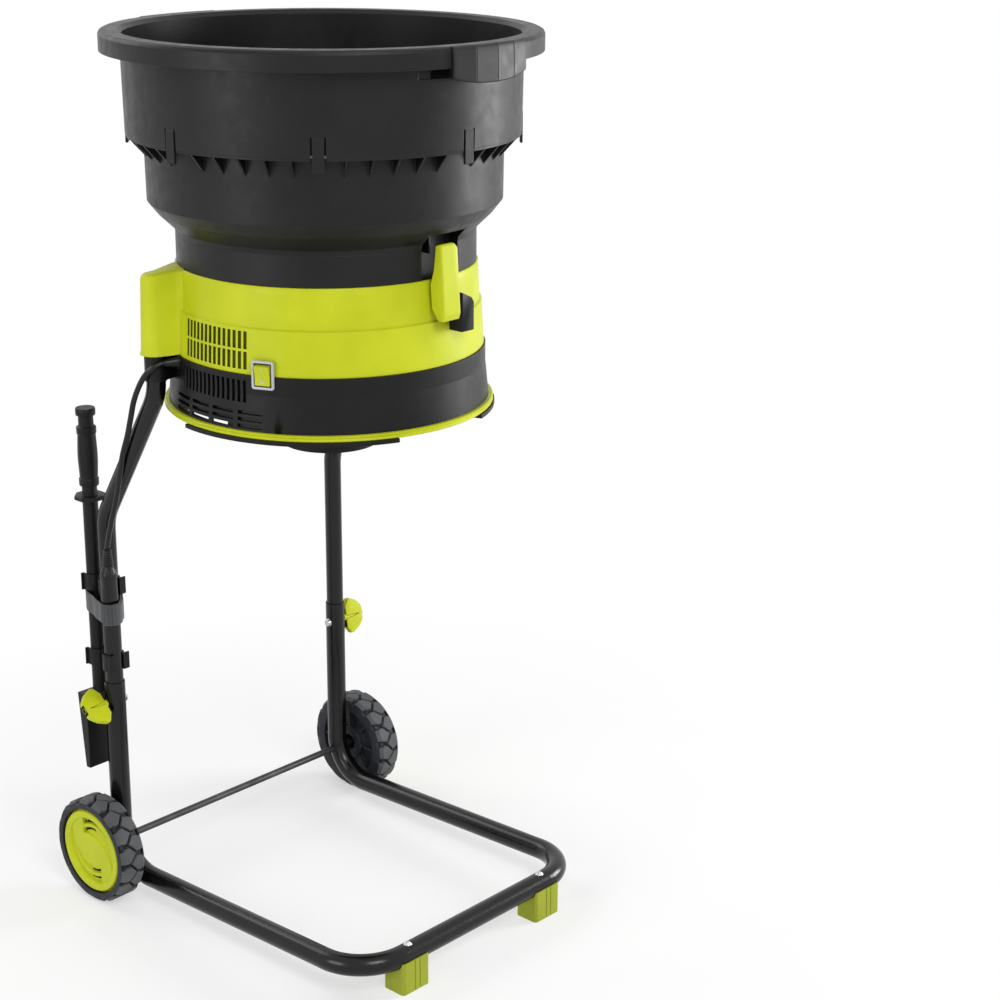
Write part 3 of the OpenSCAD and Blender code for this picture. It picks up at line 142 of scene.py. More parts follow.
# edges softened over a radius, and a height lifted off the softened surface
def softNormal(tree, shader, height, edge, samples, lift, depth):
    bevel = addNode(tree, "ShaderNodeBevel", samples=samples, Radius=edge)
    bump = addNode(tree, "ShaderNodeBump", Strength=lift, Distance=depth)
    link(height, bump.inputs["Height"])
    link(bevel.outputs["Normal"], bump.inputs["Normal"])
    link(bump.outputs["Normal"], shader.inputs["Normal"])


# moulded plastic: slow mottling in the colour, edges paler for wear and as a painted highlight, fine grain,
# uneven gloss, softened edges
plasticLook = {"mottle": 14.0, "gloss": 60.0, "glossSwing": 0.06, "wornAndHighlitReach": 1.5, "wornAndHighlit": (0.80, 0.99),
               "paler": (1.25, 0.02), "lift": 0.35, "depth": 0.0004}


def mouldedPlastic(name, dark, light, rough=0.42, grain=900.0, edge=0.0008, wearAndHighlight=0.25, spec=0.5):
    look = plasticLook
    material, tree, shader = newMaterial(name)
    base = mixColour(tree, ramp(tree, noise(tree, look["mottle"]), 0.0, 1.0), linear(*dark), linear(*light))
    wide = addNode(tree, "ShaderNodeBevel", samples=4, Radius=edge * look["wornAndHighlitReach"])
    geometry = addNode(tree, "ShaderNodeNewGeometry")
    dot = addNode(tree, "ShaderNodeVectorMath", operation="DOT_PRODUCT")
    link(wide.outputs["Normal"], dot.inputs[0])
    link(geometry.outputs["Normal"], dot.inputs[1])
    # edges turn paler here: partly wear, partly a painted highlight along them
    wornAndHighlit = ramp(tree, dot.outputs["Value"], wearAndHighlight, 0.0, *look["wornAndHighlit"])
    times, plus = look["paler"]
    pale = tuple(min(1.0, c * times + plus) for c in linear(*light)[:3]) + (1.0,)
    link(mixColour(tree, wornAndHighlit, base, pale), shader.inputs["Base Color"])
    gloss = ramp(tree, noise(tree, look["gloss"]), rough - look["glossSwing"], rough + look["glossSwing"])
    link(gloss, shader.inputs["Roughness"])
    softNormal(tree, shader, noise(tree, grain, 2.0), edge, 6, look["lift"], look["depth"])
    shader.inputs["Specular IOR Level"].default_value = spec
    return material


# metal or paint: fine scratches drawn out along one axis, spots of dullness, softened edges
metalLook = {"spots": 25.0, "lines": 12.0, "stretch": (40.0, 40.0, 4.0), "smoother": 0.05, "duller": 0.07,
             "edge": 0.0004, "lift": 0.12, "depth": 0.0003}


def metalFinish(name, dark, light, rough, metallic, spec=0.5):
    look = metalLook
    material, tree, shader = newMaterial(name)
    stretch = addNode(tree, "ShaderNodeMapping", Scale=look["stretch"])
    link(objectPlace(tree), stretch.inputs["Vector"])
    lines = addNode(tree, "ShaderNodeTexNoise", Scale=look["lines"], Detail=4.0)
    link(stretch.outputs["Vector"], lines.inputs["Vector"])
    base = mixColour(tree, ramp(tree, noise(tree, look["spots"]), 0.0, 1.0), linear(*dark), linear(*light))
    link(base, shader.inputs["Base Color"])
    gloss = ramp(tree, lines.outputs["Fac"], rough - look["smoother"], rough + look["duller"])
    link(gloss, shader.inputs["Roughness"])
    softNormal(tree, shader, lines.outputs["Fac"], look["edge"], 4, look["lift"], look["depth"])
    shader.inputs["Metallic"].default_value = metallic
    shader.inputs["Specular IOR Level"].default_value = spec
    return material


# woven band: two crossed waves on the piece's own UV, threads lifted by bump, fuzz as sheen
weaveLook = {"wander": 0.6, "lift": 0.6, "depth": 0.0006, "rough": 0.9, "sheen": 0.25}


def wovenFinish(name, dark, light):
    look = weaveLook
    material, tree, shader = newMaterial(name)
    uv = addNode(tree, "ShaderNodeUVMap", uv_map="weave")
    cross = addNode(tree, "ShaderNodeMath", operation="MAXIMUM")
    for k, axis in enumerate("XY"):
        wave = addNode(tree, "ShaderNodeTexWave", bands_direction=axis, Scale=1.0, Distortion=look["wander"])
        link(uv.outputs["UV"], wave.inputs["Vector"])
        link(wave.outputs["Fac"], cross.inputs[k])
    threads = mixColour(tree, cross.outputs[0], linear(*dark), linear(*light))
    link(threads, shader.inputs["Base Color"])
    bump = addNode(tree, "ShaderNodeBump", Strength=look["lift"], Distance=look["depth"])
    link(cross.outputs[0], bump.inputs["Height"])
    link(bump.outputs["Normal"], shader.inputs["Normal"])
    shader.inputs["Roughness"].default_value = look["rough"]
    shader.inputs["Sheen Weight"].default_value = look["sheen"]
    return material


finishes = {
    "lime_plastic": mouldedPlastic("limePlastic", (183, 192, 22), (195, 203, 34), rough=0.40, spec=0.2),
    "foot_plastic": mouldedPlastic("footPlastic", (143, 152, 30), (160, 168, 38), rough=0.48, spec=0.3),
    "hopper_plastic": mouldedPlastic("hopperPlastic", (15, 14, 15), (22, 21, 22), edge=0.0012, wearAndHighlight=0.5,
                                     spec=0.25),
    "black_plastic": mouldedPlastic("blackPlastic", (13, 13, 14), (20, 20, 21), wearAndHighlight=0.45, spec=0.2),
    "wheel_plastic": mouldedPlastic("wheelPlastic", (29, 31, 36), (40, 42, 48), rough=0.5, wearAndHighlight=1.0,
                                    spec=0.25),
    "bezel_plastic": mouldedPlastic("bezelPlastic", (168, 170, 182), (200, 202, 212), rough=0.14, wearAndHighlight=0.6),
    "strap_fabric": wovenFinish("strapFabric", (36, 37, 40), (66, 67, 71)),
    "cord_rubber": mouldedPlastic("cordRubber", (11, 11, 12), (17, 17, 18), rough=0.30, grain=1500.0,
                                  spec=0.3),
    "frame_paint": metalFinish("framePaint", (6, 6, 7), (11, 11, 12), 0.2, 0.0, spec=0.34),
    "dark_steel": metalFinish("darkSteel", (60, 60, 62), (82, 82, 84), 0.4, 0.9),
    "bright_steel": metalFinish("brightSteel", (176, 177, 180), (204, 205, 207), 0.28, 1.0),
    "blade_brass": metalFinish("bladeBrass", (190, 160, 92), (214, 186, 120), 0.25, 1.0),
    "motor_iron": metalFinish("motorIron", (62, 62, 65), (84, 84, 88), 0.45, 0.8),
    "line_nylon": mouldedPlastic("lineNylon", (222, 110, 24), (236, 130, 36), rough=0.35),
}
slotOf = {part["node"]: part["material_slot"] for part in frame["record"]["subparts"]}
for nodeName, obj in nodes.items():
    finish = finishes[slotOf[nodeName]]
    for place in obj.material_slots:
        place.material = finish
    if not obj.material_slots:
        obj.data.materials.append(finish)
print("finishes on", len(nodes), "nodes")


# how a grid of points closes: rows wrap, columns wrap, both ends capped
closedTube = (False, True, True)
openTube = (False, True, False)
torus = (True, True, False)
spun = (True, False, False)
hair = 0.0001   # tells one row or face from its neighbour


# meshes: a grid of points becomes quads between neighbours, wrapped where it closes
def gridFaces(rows, columns, wrapRows, wrapColumns):
    i = np.arange(rows if wrapRows else rows - 1)
    j = np.arange(columns if wrapColumns else columns - 1)
    a, b = (m.ravel() for m in np.meshgrid(i, j, indexing="ij"))
    a2, b2 = (a + 1) % rows, (b + 1) % columns
    return np.stack([a * columns + b, a2 * columns + b, a2 * columns + b2, a * columns + b2], 1)


def makePiece(name, parts, body, slotName, replaced=(), sharp=40.0):
    points, faces, start = [], [], 0
    for grid, wrapRows, wrapColumns, capped in parts:
        rows, columns = grid.shape[:2]
        points.append(grid.reshape(-1, 3))
        faces += (gridFaces(rows, columns, wrapRows, wrapColumns) + start).tolist()
        if capped:
            faces.append((np.arange(columns) + start).tolist())
            faces.append((np.arange(columns)[::-1] + start + (rows - 1) * columns).tolist())
        start += rows * columns
    mesh = bpy.data.meshes.new(name)
    mesh.from_pydata(np.concatenate(points), [], faces)
    work = bmesh.new()
    work.from_mesh(mesh)
    bmesh.ops.remove_doubles(work, verts=work.verts, dist=1e-7)
    bmesh.ops.recalc_face_normals(work, faces=work.faces)
    work.to_mesh(mesh)
    work.free()
    mesh.polygons.foreach_set("use_smooth", np.ones(len(mesh.polygons), bool))
    mesh.set_sharp_from_angle(angle=math.radians(sharp))
    mesh.materials.append(finishes[slotName])
    obj = bpy.data.objects.new(name, mesh)
    scene.collection.objects.link(obj)
    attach(obj, body)
    if replaced:
        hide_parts(*replaced)
    return obj


# a second finish goes on the faces that are picked by their centres
def faceCentres(obj):
    centres = np.zeros(len(obj.data.polygons) * 3)
    obj.data.polygons.foreach_get("center", centres)
    return centres.reshape(-1, 3)


def shadeFaces(obj, material, picked):
    obj.data.materials.append(material)
    obj.data.polygons.foreach_set("material_index", picked.astype(np.int32))


def smooth(t):
    t = np.clip(t, 0, 1)
    return t * t * (3 - 2 * t)


def rectangle(x0, x1, y0, y1):
    return [(x0, y0), (x1, y0), (x1, y1), (x0, y1)]


def unit(vectors):
    return vectors / np.linalg.norm(vectors, axis=1, keepdims=True)


# points from radius, angle and height, the angle alike in every row
def polar(r, angle, z):
    return np.stack([r * np.cos(angle), r * np.sin(angle), z + 0 * angle], -1)


# a closed outline with every corner swapped for an arc of its own radius
def roundedOutline(corners, radii, steps=6):
    corners = np.asarray(corners, float)
    d1 = unit(np.roll(corners, 1, 0) - corners)
    d2 = unit(np.roll(corners, -1, 0) - corners)
    half = np.arccos(np.clip((d1 * d2).sum(1), -1, 1)) / 2
    reach = np.asarray(radii, float) * np.ones(len(corners)) / np.tan(half)
    t = np.linspace(0, 1, steps)[None, :, None]
    a = corners[:, None] + (d1 * reach[:, None])[:, None]
    b = corners[:, None] + (d2 * reach[:, None])[:, None]
    c = corners[:, None]
    weight = 2 * (1 - t) * t * np.sin(half)[:, None, None]   # a conic of weight sin(half) is the circle's arc
    arc = ((1 - t) ** 2 * a + weight * c + t ** 2 * b) / ((1 - t) ** 2 + weight + t ** 2)
    return arc.reshape(-1, 2)


# how far along a line of points each of them lies, and what lies there at other lengths
def lengthAlong(points):
    return np.concatenate([[0], np.cumsum(np.linalg.norm(np.diff(points, axis=0), axis=1))])


def atLengths(wanted, length, values):
    return np.stack([np.interp(wanted, length, values[:, k]) for k in (0, 1)], 1)


# unit normals of a closed outline, square to the line between each point's neighbours, away from the middle
def outwardNormals(outline, middle):
    along = np.roll(outline, -1, 0) - np.roll(outline, 1, 0)
    normal = unit(np.stack([along[:, 1], -along[:, 0]], 1))
    return normal if ((outline - middle) * normal).sum() >= 0 else -normal


def fullTurn(count):
    return np.linspace(0, 2 * np.pi, count, endpoint=False)


# turned piece: the profile (radius, height) carried round an axis; it may differ from one angle to the next
def turned(profile, angles, origin, axis, first):
    axis, first = np.asarray(axis, float), np.asarray(first, float)
    second = np.cross(axis, first)
    r, h = profile[..., 0], profile[..., 1]
    if profile.ndim == 2:
        r, h = r[None], h[None]
    c, s = np.cos(angles)[:, None, None], np.sin(angles)[:, None, None]
    return np.asarray(origin, float) + r[..., None] * (c * first + s * second) + h[..., None] * axis


# cord: the route of the solid, drawn out as a smooth curve through its points
cordFacts = {"diameter": 0.0075, "steps": 8, "roundness": 5}
cordRoute = np.array([
    (-211.45, 81.17, 793), (-217, 83.3, 791.5), (-224.6, 87.5, 787), (-228.8, 96.8, 778), (-230, 109, 762),
    (-230, 122, 739), (-229, 132, 713), (-228, 142, 687), (-228, 153, 661), (-227, 162, 635),
    (-227.3, 168.5, 609), (-228.3, 176, 583), (-228.7, 185.6, 557), (-228.5, 193, 535),
    (-228, 198.2, 518)]) / 1000


# between two points the curve is the cubic whose slopes are half the span of their neighbours
def smoothRoute(points, steps):
    padded = np.concatenate([2 * points[:1] - points[1:2], points, 2 * points[-1:] - points[-2:-1]])
    p0, p1, p2, p3 = padded[:-3, None], padded[1:-2, None], padded[2:-1, None], padded[3:, None]
    t = np.linspace(0, 1, steps, endpoint=False)[None, :, None]
    curve = 0.5 * (2 * p1 + (p2 - p0) * t + (2 * p0 - 5 * p1 + 4 * p2 - p3) * t ** 2
                   + (3 * p1 - p0 - 3 * p2 + p3) * t ** 3)
    return np.concatenate([curve.reshape(-1, 3), points[-1:]])


def makeCord():
    route = smoothRoute(cordRoute, cordFacts["steps"])
    data = bpy.data.curves.new("powerCord", "CURVE")
    data.dimensions = "3D"
    data.bevel_depth = cordFacts["diameter"] / 2
    data.bevel_resolution = cordFacts["roundness"]
    data.use_fill_caps = True
    spline = data.splines.new("POLY")
    spline.points.add(len(route) - 1)
    spline.points.foreach_set("co", np.c_[route, np.ones(len(route))].ravel())
    data.materials.append(finishes["cord_rubber"])
    cord = bpy.data.objects.new("powerCord", data)
    scene.collection.objects.link(cord)
    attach(cord, "stand")
    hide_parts("power_cord")
    return cord, float(lengthAlong(route)[-1])


# plug: squarish oval sections up its axis, drawn in at the foot, at a waist for the fingers and at the
# shoulder, then a tapered relief with ribs, a square wave in its radius; u runs up the body, v up the relief
plug = {"axis": (-0.2280, 0.1982), "low": 0.442, "top": 0.494, "relief": 0.518, "wide": 0.0115,
        "deep": 0.0096, "sides": 40, "bodyRows": 40, "reliefRows": 48, "reliefR": (0.0068, 0.0050), "ribs": 7,
        "ribShare": 0.10, "ribSpan": (0.03, 0.97), "waist": 0.10, "waistAt": 0.45, "waistSpread": 0.2,
        "foot": 0.12, "footRun": 0.06, "shoulder": 1.02, "shoulderRun": 0.28, "oval": 0.75}


def makePlug():
    p = plug
    turn = fullTurn(p["sides"])
    z = np.concatenate([np.linspace(p["low"], p["top"], p["bodyRows"]),
                        np.linspace(p["top"], p["relief"], p["reliefRows"] + 1)[1:]])
    u = (z - p["low"]) / (p["top"] - p["low"])
    v = np.clip((z - p["top"]) / (p["relief"] - p["top"]), 0, 1)
    shoulder = smooth((p["shoulder"] - u) / p["shoulderRun"])
    foot = smooth(u / p["footRun"]) * p["foot"] + 1 - p["foot"]
    waist = 1 - p["waist"] * np.exp(-((u - p["waistAt"]) / p["waistSpread"]) ** 2)
    ribbed = (v > p["ribSpan"][0]) * (v < p["ribSpan"][1])
    ribs = 1 + p["ribShare"] * np.sign(np.sin(v * 2 * np.pi * p["ribs"])) * ribbed
    thick, thin = p["reliefR"]
    relief = (thick + (thin - thick) * v) * ribs
    neck = relief[p["bodyRows"]]
    wide = np.where(u <= 1, neck + (p["wide"] * foot * waist - neck) * shoulder, relief)
    deep = np.where(u <= 1, neck + (p["deep"] * foot - neck) * shoulder, relief)
    c, s = np.cos(turn), np.sin(turn)
    x = p["axis"][0] + wide[:, None] * np.sign(c) * np.abs(c) ** p["oval"]
    y = p["axis"][1] + deep[:, None] * np.sign(s) * np.abs(s) ** p["oval"]
    grid = np.stack([x, y, np.repeat(z[:, None], len(turn), 1)], -1)
    return makePiece("plugBody", [(grid, *closedTube)], "stand", "cord_rubber", ["plug_body"], sharp=50)


cordPiece, cordLength = makeCord()
plugPiece = makePlug()
print("cord", round(cordLength, 3), "m")


# strap: a band round the tool, the leg and the plug; its path is the rim of the three circles held taut, and
# two sine waves along it lift the band a little; a tab lies over the last stretch
strap = {"low": 0.4145, "high": 0.4425, "thick": 0.0020, "edgeShare": 0.45, "lift": 0.0010, "lap": 0.34,
         "circles": ((-0.210, 0.254, 0.0105), (-0.210, 0.221, 0.0125), (-0.2280, 0.1982, 0.0112)),
         "turns": 720, "points": 360, "waves": ((0.0007, 190, 0), (0.0005, 83, 1)), "slack": 0.0004,
         "tabGap": 0.0003, "tabDrop": 0.0012, "centre": (-0.214, 0.223), "meanR": 0.022, "threads": 130}


def makeStrap():
    s = strap
    angles = np.linspace(0, 2 * np.pi, s["turns"] + 1)
    normal = np.stack([np.cos(angles), np.sin(angles)], 1)
    circles = np.array(s["circles"])
    far = normal @ circles[:, :2].T + circles[:, 2]
    pick = circles[far.argmax(1)]
    rim = pick[:, :2] + normal * (pick[:, 2:] + s["lift"])
    length = lengthAlong(rim)
    even = np.linspace(0, length[-1], s["points"] + 1)
    path, out = atLengths(even, length, rim), unit(atLengths(even, length, normal))
    sag = sum(depth * np.sin(even * rate + shift) for depth, rate, shift in s["waves"]).clip(-s["slack"])
    section = roundedOutline(rectangle(0, s["thick"], s["low"], s["high"]), s["thick"] * s["edgeShare"], 5)

    def band(first, last, lift, drop):
        p, n, w = path[first:last], out[first:last], sag[first:last]
        offset = section[None, :, 0] + lift + w[:, None]
        flat = p[:, None] + n[:, None] * offset[..., None]
        return np.concatenate([flat, np.repeat((section[:, 1] - drop)[None, :, None], len(p), 0)], 2)

    count = s["points"]
    loop = band(0, count, 0.0, 0.0)
    tab = band(count - int(count * s["lap"]), count, s["thick"] + s["tabGap"], s["tabDrop"])
    parts = [(loop, *torus), (tab, *closedTube)]
    obj = makePiece("cordStrap", parts, "stand", "strap_fabric", ["cord_strap"], sharp=60)
    layer = obj.data.uv_layers.new(name="weave")
    co = np.zeros(len(obj.data.vertices) * 3)
    obj.data.vertices.foreach_get("co", co)
    co = co.reshape(-1, 3)
    around = np.arctan2(co[:, 1] - s["centre"][1], co[:, 0] - s["centre"][0]) * s["meanR"]
    index = np.zeros(len(obj.data.loops), int)
    obj.data.loops.foreach_get("vertex_index", index)
    weave = np.stack([around[index], co[index, 2]], 1) * s["threads"]
    layer.data.foreach_set("uv", weave.ravel())
    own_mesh(obj)


makeStrap()
print("strap made")


# wheels: one closed section turned round the axle, whose outer band drops into the tread's channels
wheel = {"axle": (0.218541, 0.075), "inner": 0.230, "outer": 0.270, "radius": 0.075, "bore": 0.0128,
         "hub": (0.026, 0.027), "hubStep": 0.0015, "hollow": 0.010, "rim": (0.052, 0.0535),
         "shoulder": (0.004, 0.005), "capSeat": (0.0616, 0.0622), "capDeep": 0.012,
         "rounds": (0.0008, 0.001, 0.002, 0.002, 0.001, 0.002, 0.0025, 0.0025, 0.002, 0.0005, 0.001, 0.0008),
         "columns": 768, "bandRows": 46, "bandEdge": 0.00045, "webs": 8, "webHalf": 0.0018,
         "webRound": 0.0007, "webDeep": (0.003, 0.0112), "webReach": (0.0245, 0.0532)}
tread = {"blocks": 16, "channel": 0.0056, "zigzag": 0.0062, "centre": 0.0020, "reach": 0.0045,
         "paleReach": 0.0042, "lean": 0.10, "gapFrom": 0.3, "gap": 0.385, "gapGrow": 0.05, "wideFrom": 0.62}
# tread tops: a paler rubber that also paints on the light falling on the tread (painted light)
treadPaleAndLit = mouldedPlastic("treadPaleAndLit", (72, 73, 76), (92, 93, 96), rough=0.62, wearAndHighlight=0.6, spec=0.25)


def wheelSection(half):
    w, edge = wheel, wheel["radius"]
    cut, drop = w["shoulder"]
    seat = half - w["capDeep"]
    corners = [(w["bore"], -half + w["hubStep"]), (w["hub"][0], -half + w["hubStep"]),
               (w["hub"][1], -half + w["hollow"]), (w["rim"][0], -half + w["hollow"]), (w["rim"][1], -half),
               (edge - cut, -half), (edge, -half + drop), (edge, half - drop), (edge - cut, half),
               (w["capSeat"][1], half), (w["capSeat"][0], seat), (w["bore"], seat)]
    profile = roundedOutline(corners, w["rounds"], 5)
    flat = np.where(profile[:, 0] > edge - w["bandEdge"])[0]
    rows = np.linspace(profile[flat[0], 1], profile[flat[-1], 1], w["bandRows"])
    band = np.stack([np.full(len(rows), edge), rows], 1)
    return np.concatenate([profile[:flat[0]], band, profile[flat[-1] + 1:]])


# the tread: a zigzag channel runs round the middle, and leaned gaps leave it to both sides by turns, wider
# near the flanks; averaging each cut with its neighbours round the wheel slopes the walls
def treadRadius(profile, turn, half):
    t = tread
    r, h = profile[None, :, 0], profile[None, :, 1]
    phase = turn[:, None] * t["blocks"] / (2 * np.pi)
    saw = np.abs((phase % 1) * 2 - 1) * 2 - 1
    line = np.abs(h - saw * t["zigzag"]) < t["centre"]
    gapAt = np.where(h > 0, phase % 1, (phase + 0.5) % 1)
    away = np.abs(h) / half
    gap = np.abs(gapAt - 0.5 + t["lean"] * away) > t["gap"] - t["gapGrow"] * (away > t["wideFrom"])
    onBand = r > wheel["radius"] - t["reach"]
    cut = ((line | (gap & (away > t["gapFrom"]))) & onBand).astype(float)
    cut = (cut + np.roll(cut, 1, 0) + np.roll(cut, -1, 0)) / 3
    return r - cut * t["channel"] * onBand


def makeWheel(side, node, body, piece):
    w = wheel
    half, mid = (w["outer"] - w["inner"]) / 2, (w["inner"] + w["outer"]) / 2
    y, z = w["axle"]
    origin, axis = np.array([side * mid, y, z]), np.array([side, 0, 0])
    profile = wheelSection(half)
    turn = fullTurn(w["columns"])
    grid = np.stack([treadRadius(profile, turn, half), np.repeat(profile[None, :, 1], len(turn), 0)], -1)
    parts = [(turned(grid, turn, origin, axis, (0, 1, 0)), *torus)]
    low, high = (-half + deep for deep in w["webDeep"])
    section = roundedOutline(rectangle(-w["webHalf"], w["webHalf"], low, high), w["webRound"], 3)
    ends = np.array(w["webReach"])
    for angle in fullTurn(w["webs"]):   # webs on the inner face, one box each
        d = np.array([0, np.cos(angle), np.sin(angle)])
        t = np.array([0, -np.sin(angle), np.cos(angle)])
        web = origin + ends[:, None, None] * d + section[None, :, :1] * t + section[None, :, 1:] * axis
        parts.append((web, *closedTube))
    obj = makePiece(piece, parts, body, "wheel_plastic", [node], sharp=32)
    far = faceCentres(obj) - origin
    # faces near the tread's outside get the paler finish, partly painted light
    shadeFaces(obj, treadPaleAndLit, np.hypot(far[:, 1], far[:, 2]) > w["radius"] - tread["paleReach"])


# hub cap: a polar height field; a crowned ring, a flat S band a step lower, and two comma dishes outside a
# circle each, deepest at their blunt ends, with a rib along the middle and slots of painted shade on both
# sides of it;
# apart from heights, lengths are shares of the cap's radius
cap = {"radius": 0.0613, "face": 0.2684, "back": 0.2600, "columns": 480, "dishRows": (0.0, 0.78, 130),
       "ringRows": (0.786, 1.0, 44), "ring": 0.80, "step": 0.0022, "stepEdge": (0.004, 0.02), "crown": 0.0007,
       "edgeFrom": 0.94, "edgeDrop": 0.0042, "bow": 0.80, "bowAt": 0.43, "bowTurn": 257.9, "blunt": -0.30,
       "margin": 0.015, "wall": 0.020, "deep": 0.0062, "start": 113, "span": 125, "tail": 0.70, "climb": 0.45,
       "climbRun": 0.16, "rib": (0.590, 0.685), "ribHalf": 0.058, "ribEdge": 0.02, "ribDeep": 0.0020,
       "slotIn": 0.012, "slotRun": 0.27, "slotHalf": 0.028}
# painted shade for the dishes' slots, standing in for openings and the shadow in them
capShade = mouldedPlastic("capShade", (16, 18, 4), (26, 29, 7), rough=0.6, spec=0.1)


# one dish's depth and its painted-shade slots at (u, v); run is 0 at its blunt end and 1 at its tail
def capDish(u, v):
    c = cap
    r = np.hypot(u, v)
    bow = math.radians(c["bowTurn"])
    outside = np.hypot(u - c["bowAt"] * math.cos(bow), v - c["bowAt"] * math.sin(bow)) - c["bow"]
    depthIn = np.minimum(np.minimum(outside, c["ring"] - c["margin"] - r), u - c["blunt"])
    run = np.clip((c["start"] - np.degrees(np.arctan2(v, u))) / c["span"], 0, 1)
    fromRib = r - c["rib"][0] - (c["rib"][1] - c["rib"][0]) * run
    floor = c["deep"] * (1 - c["tail"] * run)
    floor = floor * (1 - c["climb"] * smooth((-fromRib - c["ribHalf"]) / c["climbRun"]))
    onRib = smooth((c["ribHalf"] - np.abs(fromRib)) / c["ribEdge"])
    floor = floor + onRib * (np.minimum(floor, c["ribDeep"]) - floor)
    beside = np.abs(np.abs(fromRib) - c["ribHalf"] - c["slotHalf"]) < c["slotHalf"]
    slot = (depthIn > c["slotIn"]) & (run < c["slotRun"]) & beside
    return smooth(depthIn / c["wall"]) * floor * (depthIn > 0), slot


def makeCap(side, node, body, piece):
    c = cap
    rho = np.concatenate([np.linspace(*c["dishRows"]), np.linspace(*c["ringRows"])])
    turn = fullTurn(c["columns"])
    u, v = rho[:, None] * np.cos(turn), rho[:, None] * np.sin(turn)
    r = np.hypot(u, v)
    (firstDeep, firstSlot), (secondDeep, secondSlot) = capDish(u, v), capDish(-u, -v)
    before, run = c["stepEdge"]
    height = -c["step"] * smooth((c["ring"] + before - r) / run) - firstDeep - secondDeep
    ringShape = np.clip((r - c["ring"]) / (1 - c["ring"]), 0, 1)
    edge = c["edgeDrop"] * smooth((r - c["edgeFrom"]) / (1 - c["edgeFrom"]))
    height += (c["crown"] * np.sin(np.pi * ringShape) - edge) * (r >= c["ring"])
    y, z = wheel["axle"]
    points = np.stack([side * (c["face"] + height), y + side * u * c["radius"], z + v * c["radius"]], -1)
    back = points[-1:].copy()
    back[..., 0] = side * c["back"]
    centre = np.full((1, len(turn), 3), (side * c["back"], y, z))
    grid = np.concatenate([points, back, centre])
    obj = makePiece(piece, [(grid, *openTube)], body, "lime_plastic", [node], sharp=38)
    middle = faceCentres(obj)
    u, v = side * (middle[:, 1] - y) / c["radius"], (middle[:, 2] - z) / c["radius"]
    row = np.clip(np.searchsorted(rho, np.hypot(u, v)), 0, len(rho) - 1)
    column = np.round(np.arctan2(v, u) / (2 * np.pi) * len(turn)).astype(int) % len(turn)
    outside = side * middle[:, 0] > c["back"] + hair
    shadeFaces(obj, capShade, (firstSlot | secondSlot)[row, column] & outside)


makeWheel(-1, "left_wheel", "left_wheel", "leftWheel")
makeWheel(1, "right_wheel", "right_wheel", "rightWheel")
makeCap(-1, "left_hub_cap", "left_wheel", "leftHubCap")
makeCap(1, "right_hub_cap", "right_wheel", "rightHubCap")
print("wheels made")


# upper housing: a drum whose radius follows its height, with vents sunk into it, and two leg sockets
housing = {"low": 0.800, "step": 0.8585, "stepHalf": 0.0008, "high": 0.911,
           "radii": (0.2044, 0.2012, 0.1982, 0.1965),
           "inside": ((0.1957, 0.9108), (0.1951, 0.911), (0.1923, 0.911), (0.1917, 0.9104), (0.1917, 0.905),
                      (0.1935, 0.899), (0.195, 0.860), (0.1982, 0.857), (0.2012, 0.800), (0.2036, 0.800)),
           "rows": ((0.801, 0.857, 12), (0.8573, 0.8597, 7), (0.862, 0.9095, 7)), "turnStep": 2.0,
           "ventAt": 181.4, "ventPitch": 2.3, "ventColumns": 14, "ventHalf": 0.649, "ventEdge": 0.03,
           "ventRows": ((0.8065, 0.8285), (0.8319, 0.8539)), "sink": 0.0031, "behind": 20,
           "behindThick": 0.0012, "shadeTurn": 17, "shadeDepth": (0.0005, 0.0036), "shadeTop": 0.855}
socket = {"seat": (-0.210, 0.100), "r": 0.0182, "roundRows": 9, "crease": (158.5, 140.0), "creaseR": 0.1965,
          "roots": ((170, 0.192), (128, 0.192), (149, 0.165)), "creaseRound": 0.012, "rootRound": 0.002,
          "endRound": 0.0028, "points": 200, "laps": 3, "spine": (149, 0.186), "strip": 0.004, "drop": 0.006,
          "slope": 0.050, "proud": 0.0004, "low": 0.8015, "lipShares": (0.0, 0.006, 0.02),
          "lipInsets": (-0.0010, -0.0013, -0.0006), "climb": (0.06, 0.9, 10), "draft": 0.0035,
          "topRound": 0.006}
# painted shade for the vents' sunk walls and floors
ventShade = mouldedPlastic("ventShade", (78, 84, 6), (94, 100, 12), rough=0.6, spec=0.1)


def drumRadius(z):
    h = housing
    stops = [h["low"], h["step"] - h["stepHalf"], h["step"] + h["stepHalf"], h["high"]]
    return np.interp(z, stops, h["radii"])


# the drum: rows and columns stand close together at the vents' edges, so that their walls are steep
def housingDrum():
    h = housing
    centres = h["ventAt"] + (np.arange(h["ventColumns"]) - (h["ventColumns"] - 1) / 2) * h["ventPitch"]
    edges = np.concatenate([centres - h["ventHalf"], centres + h["ventHalf"]])
    around = np.arange(0, 360, h["turnStep"])
    spread = np.concatenate([edges - h["ventEdge"], edges + h["ventEdge"], centres, around])
    angles = np.unique(spread.round(4))
    rowEdges = np.array(h["ventRows"]).ravel()
    rows = [np.linspace(*stretch) for stretch in h["rows"]]
    z = np.unique(np.concatenate([rowEdges - hair, rowEdges + hair] + rows))
    inColumn = (np.abs(angles[:, None] - centres) < h["ventHalf"]).any(1)
    inRow = ((z[:, None] > rowEdges[::2]) & (z[:, None] < rowEdges[1::2])).any(1)
    outer = drumRadius(z)[None] - h["sink"] * (inColumn[:, None] & inRow[None])
    inward = np.repeat(np.array(h["inside"])[None], len(angles), 0)
    inward[:, 7:9, 0] -= h["behindThick"] * (np.abs(angles - h["ventAt"]) < h["behind"])[:, None]
    ring = np.concatenate([np.stack([outer, np.repeat(z[None], len(angles), 0)], -1), inward], 1)
    return turned(ring, np.radians(angles), (0, 0, 0), (0, 0, 1), (1, 0, 0))


def onDrum(degrees, r):
    return r * np.array([math.cos(math.radians(degrees)), math.sin(math.radians(degrees))])


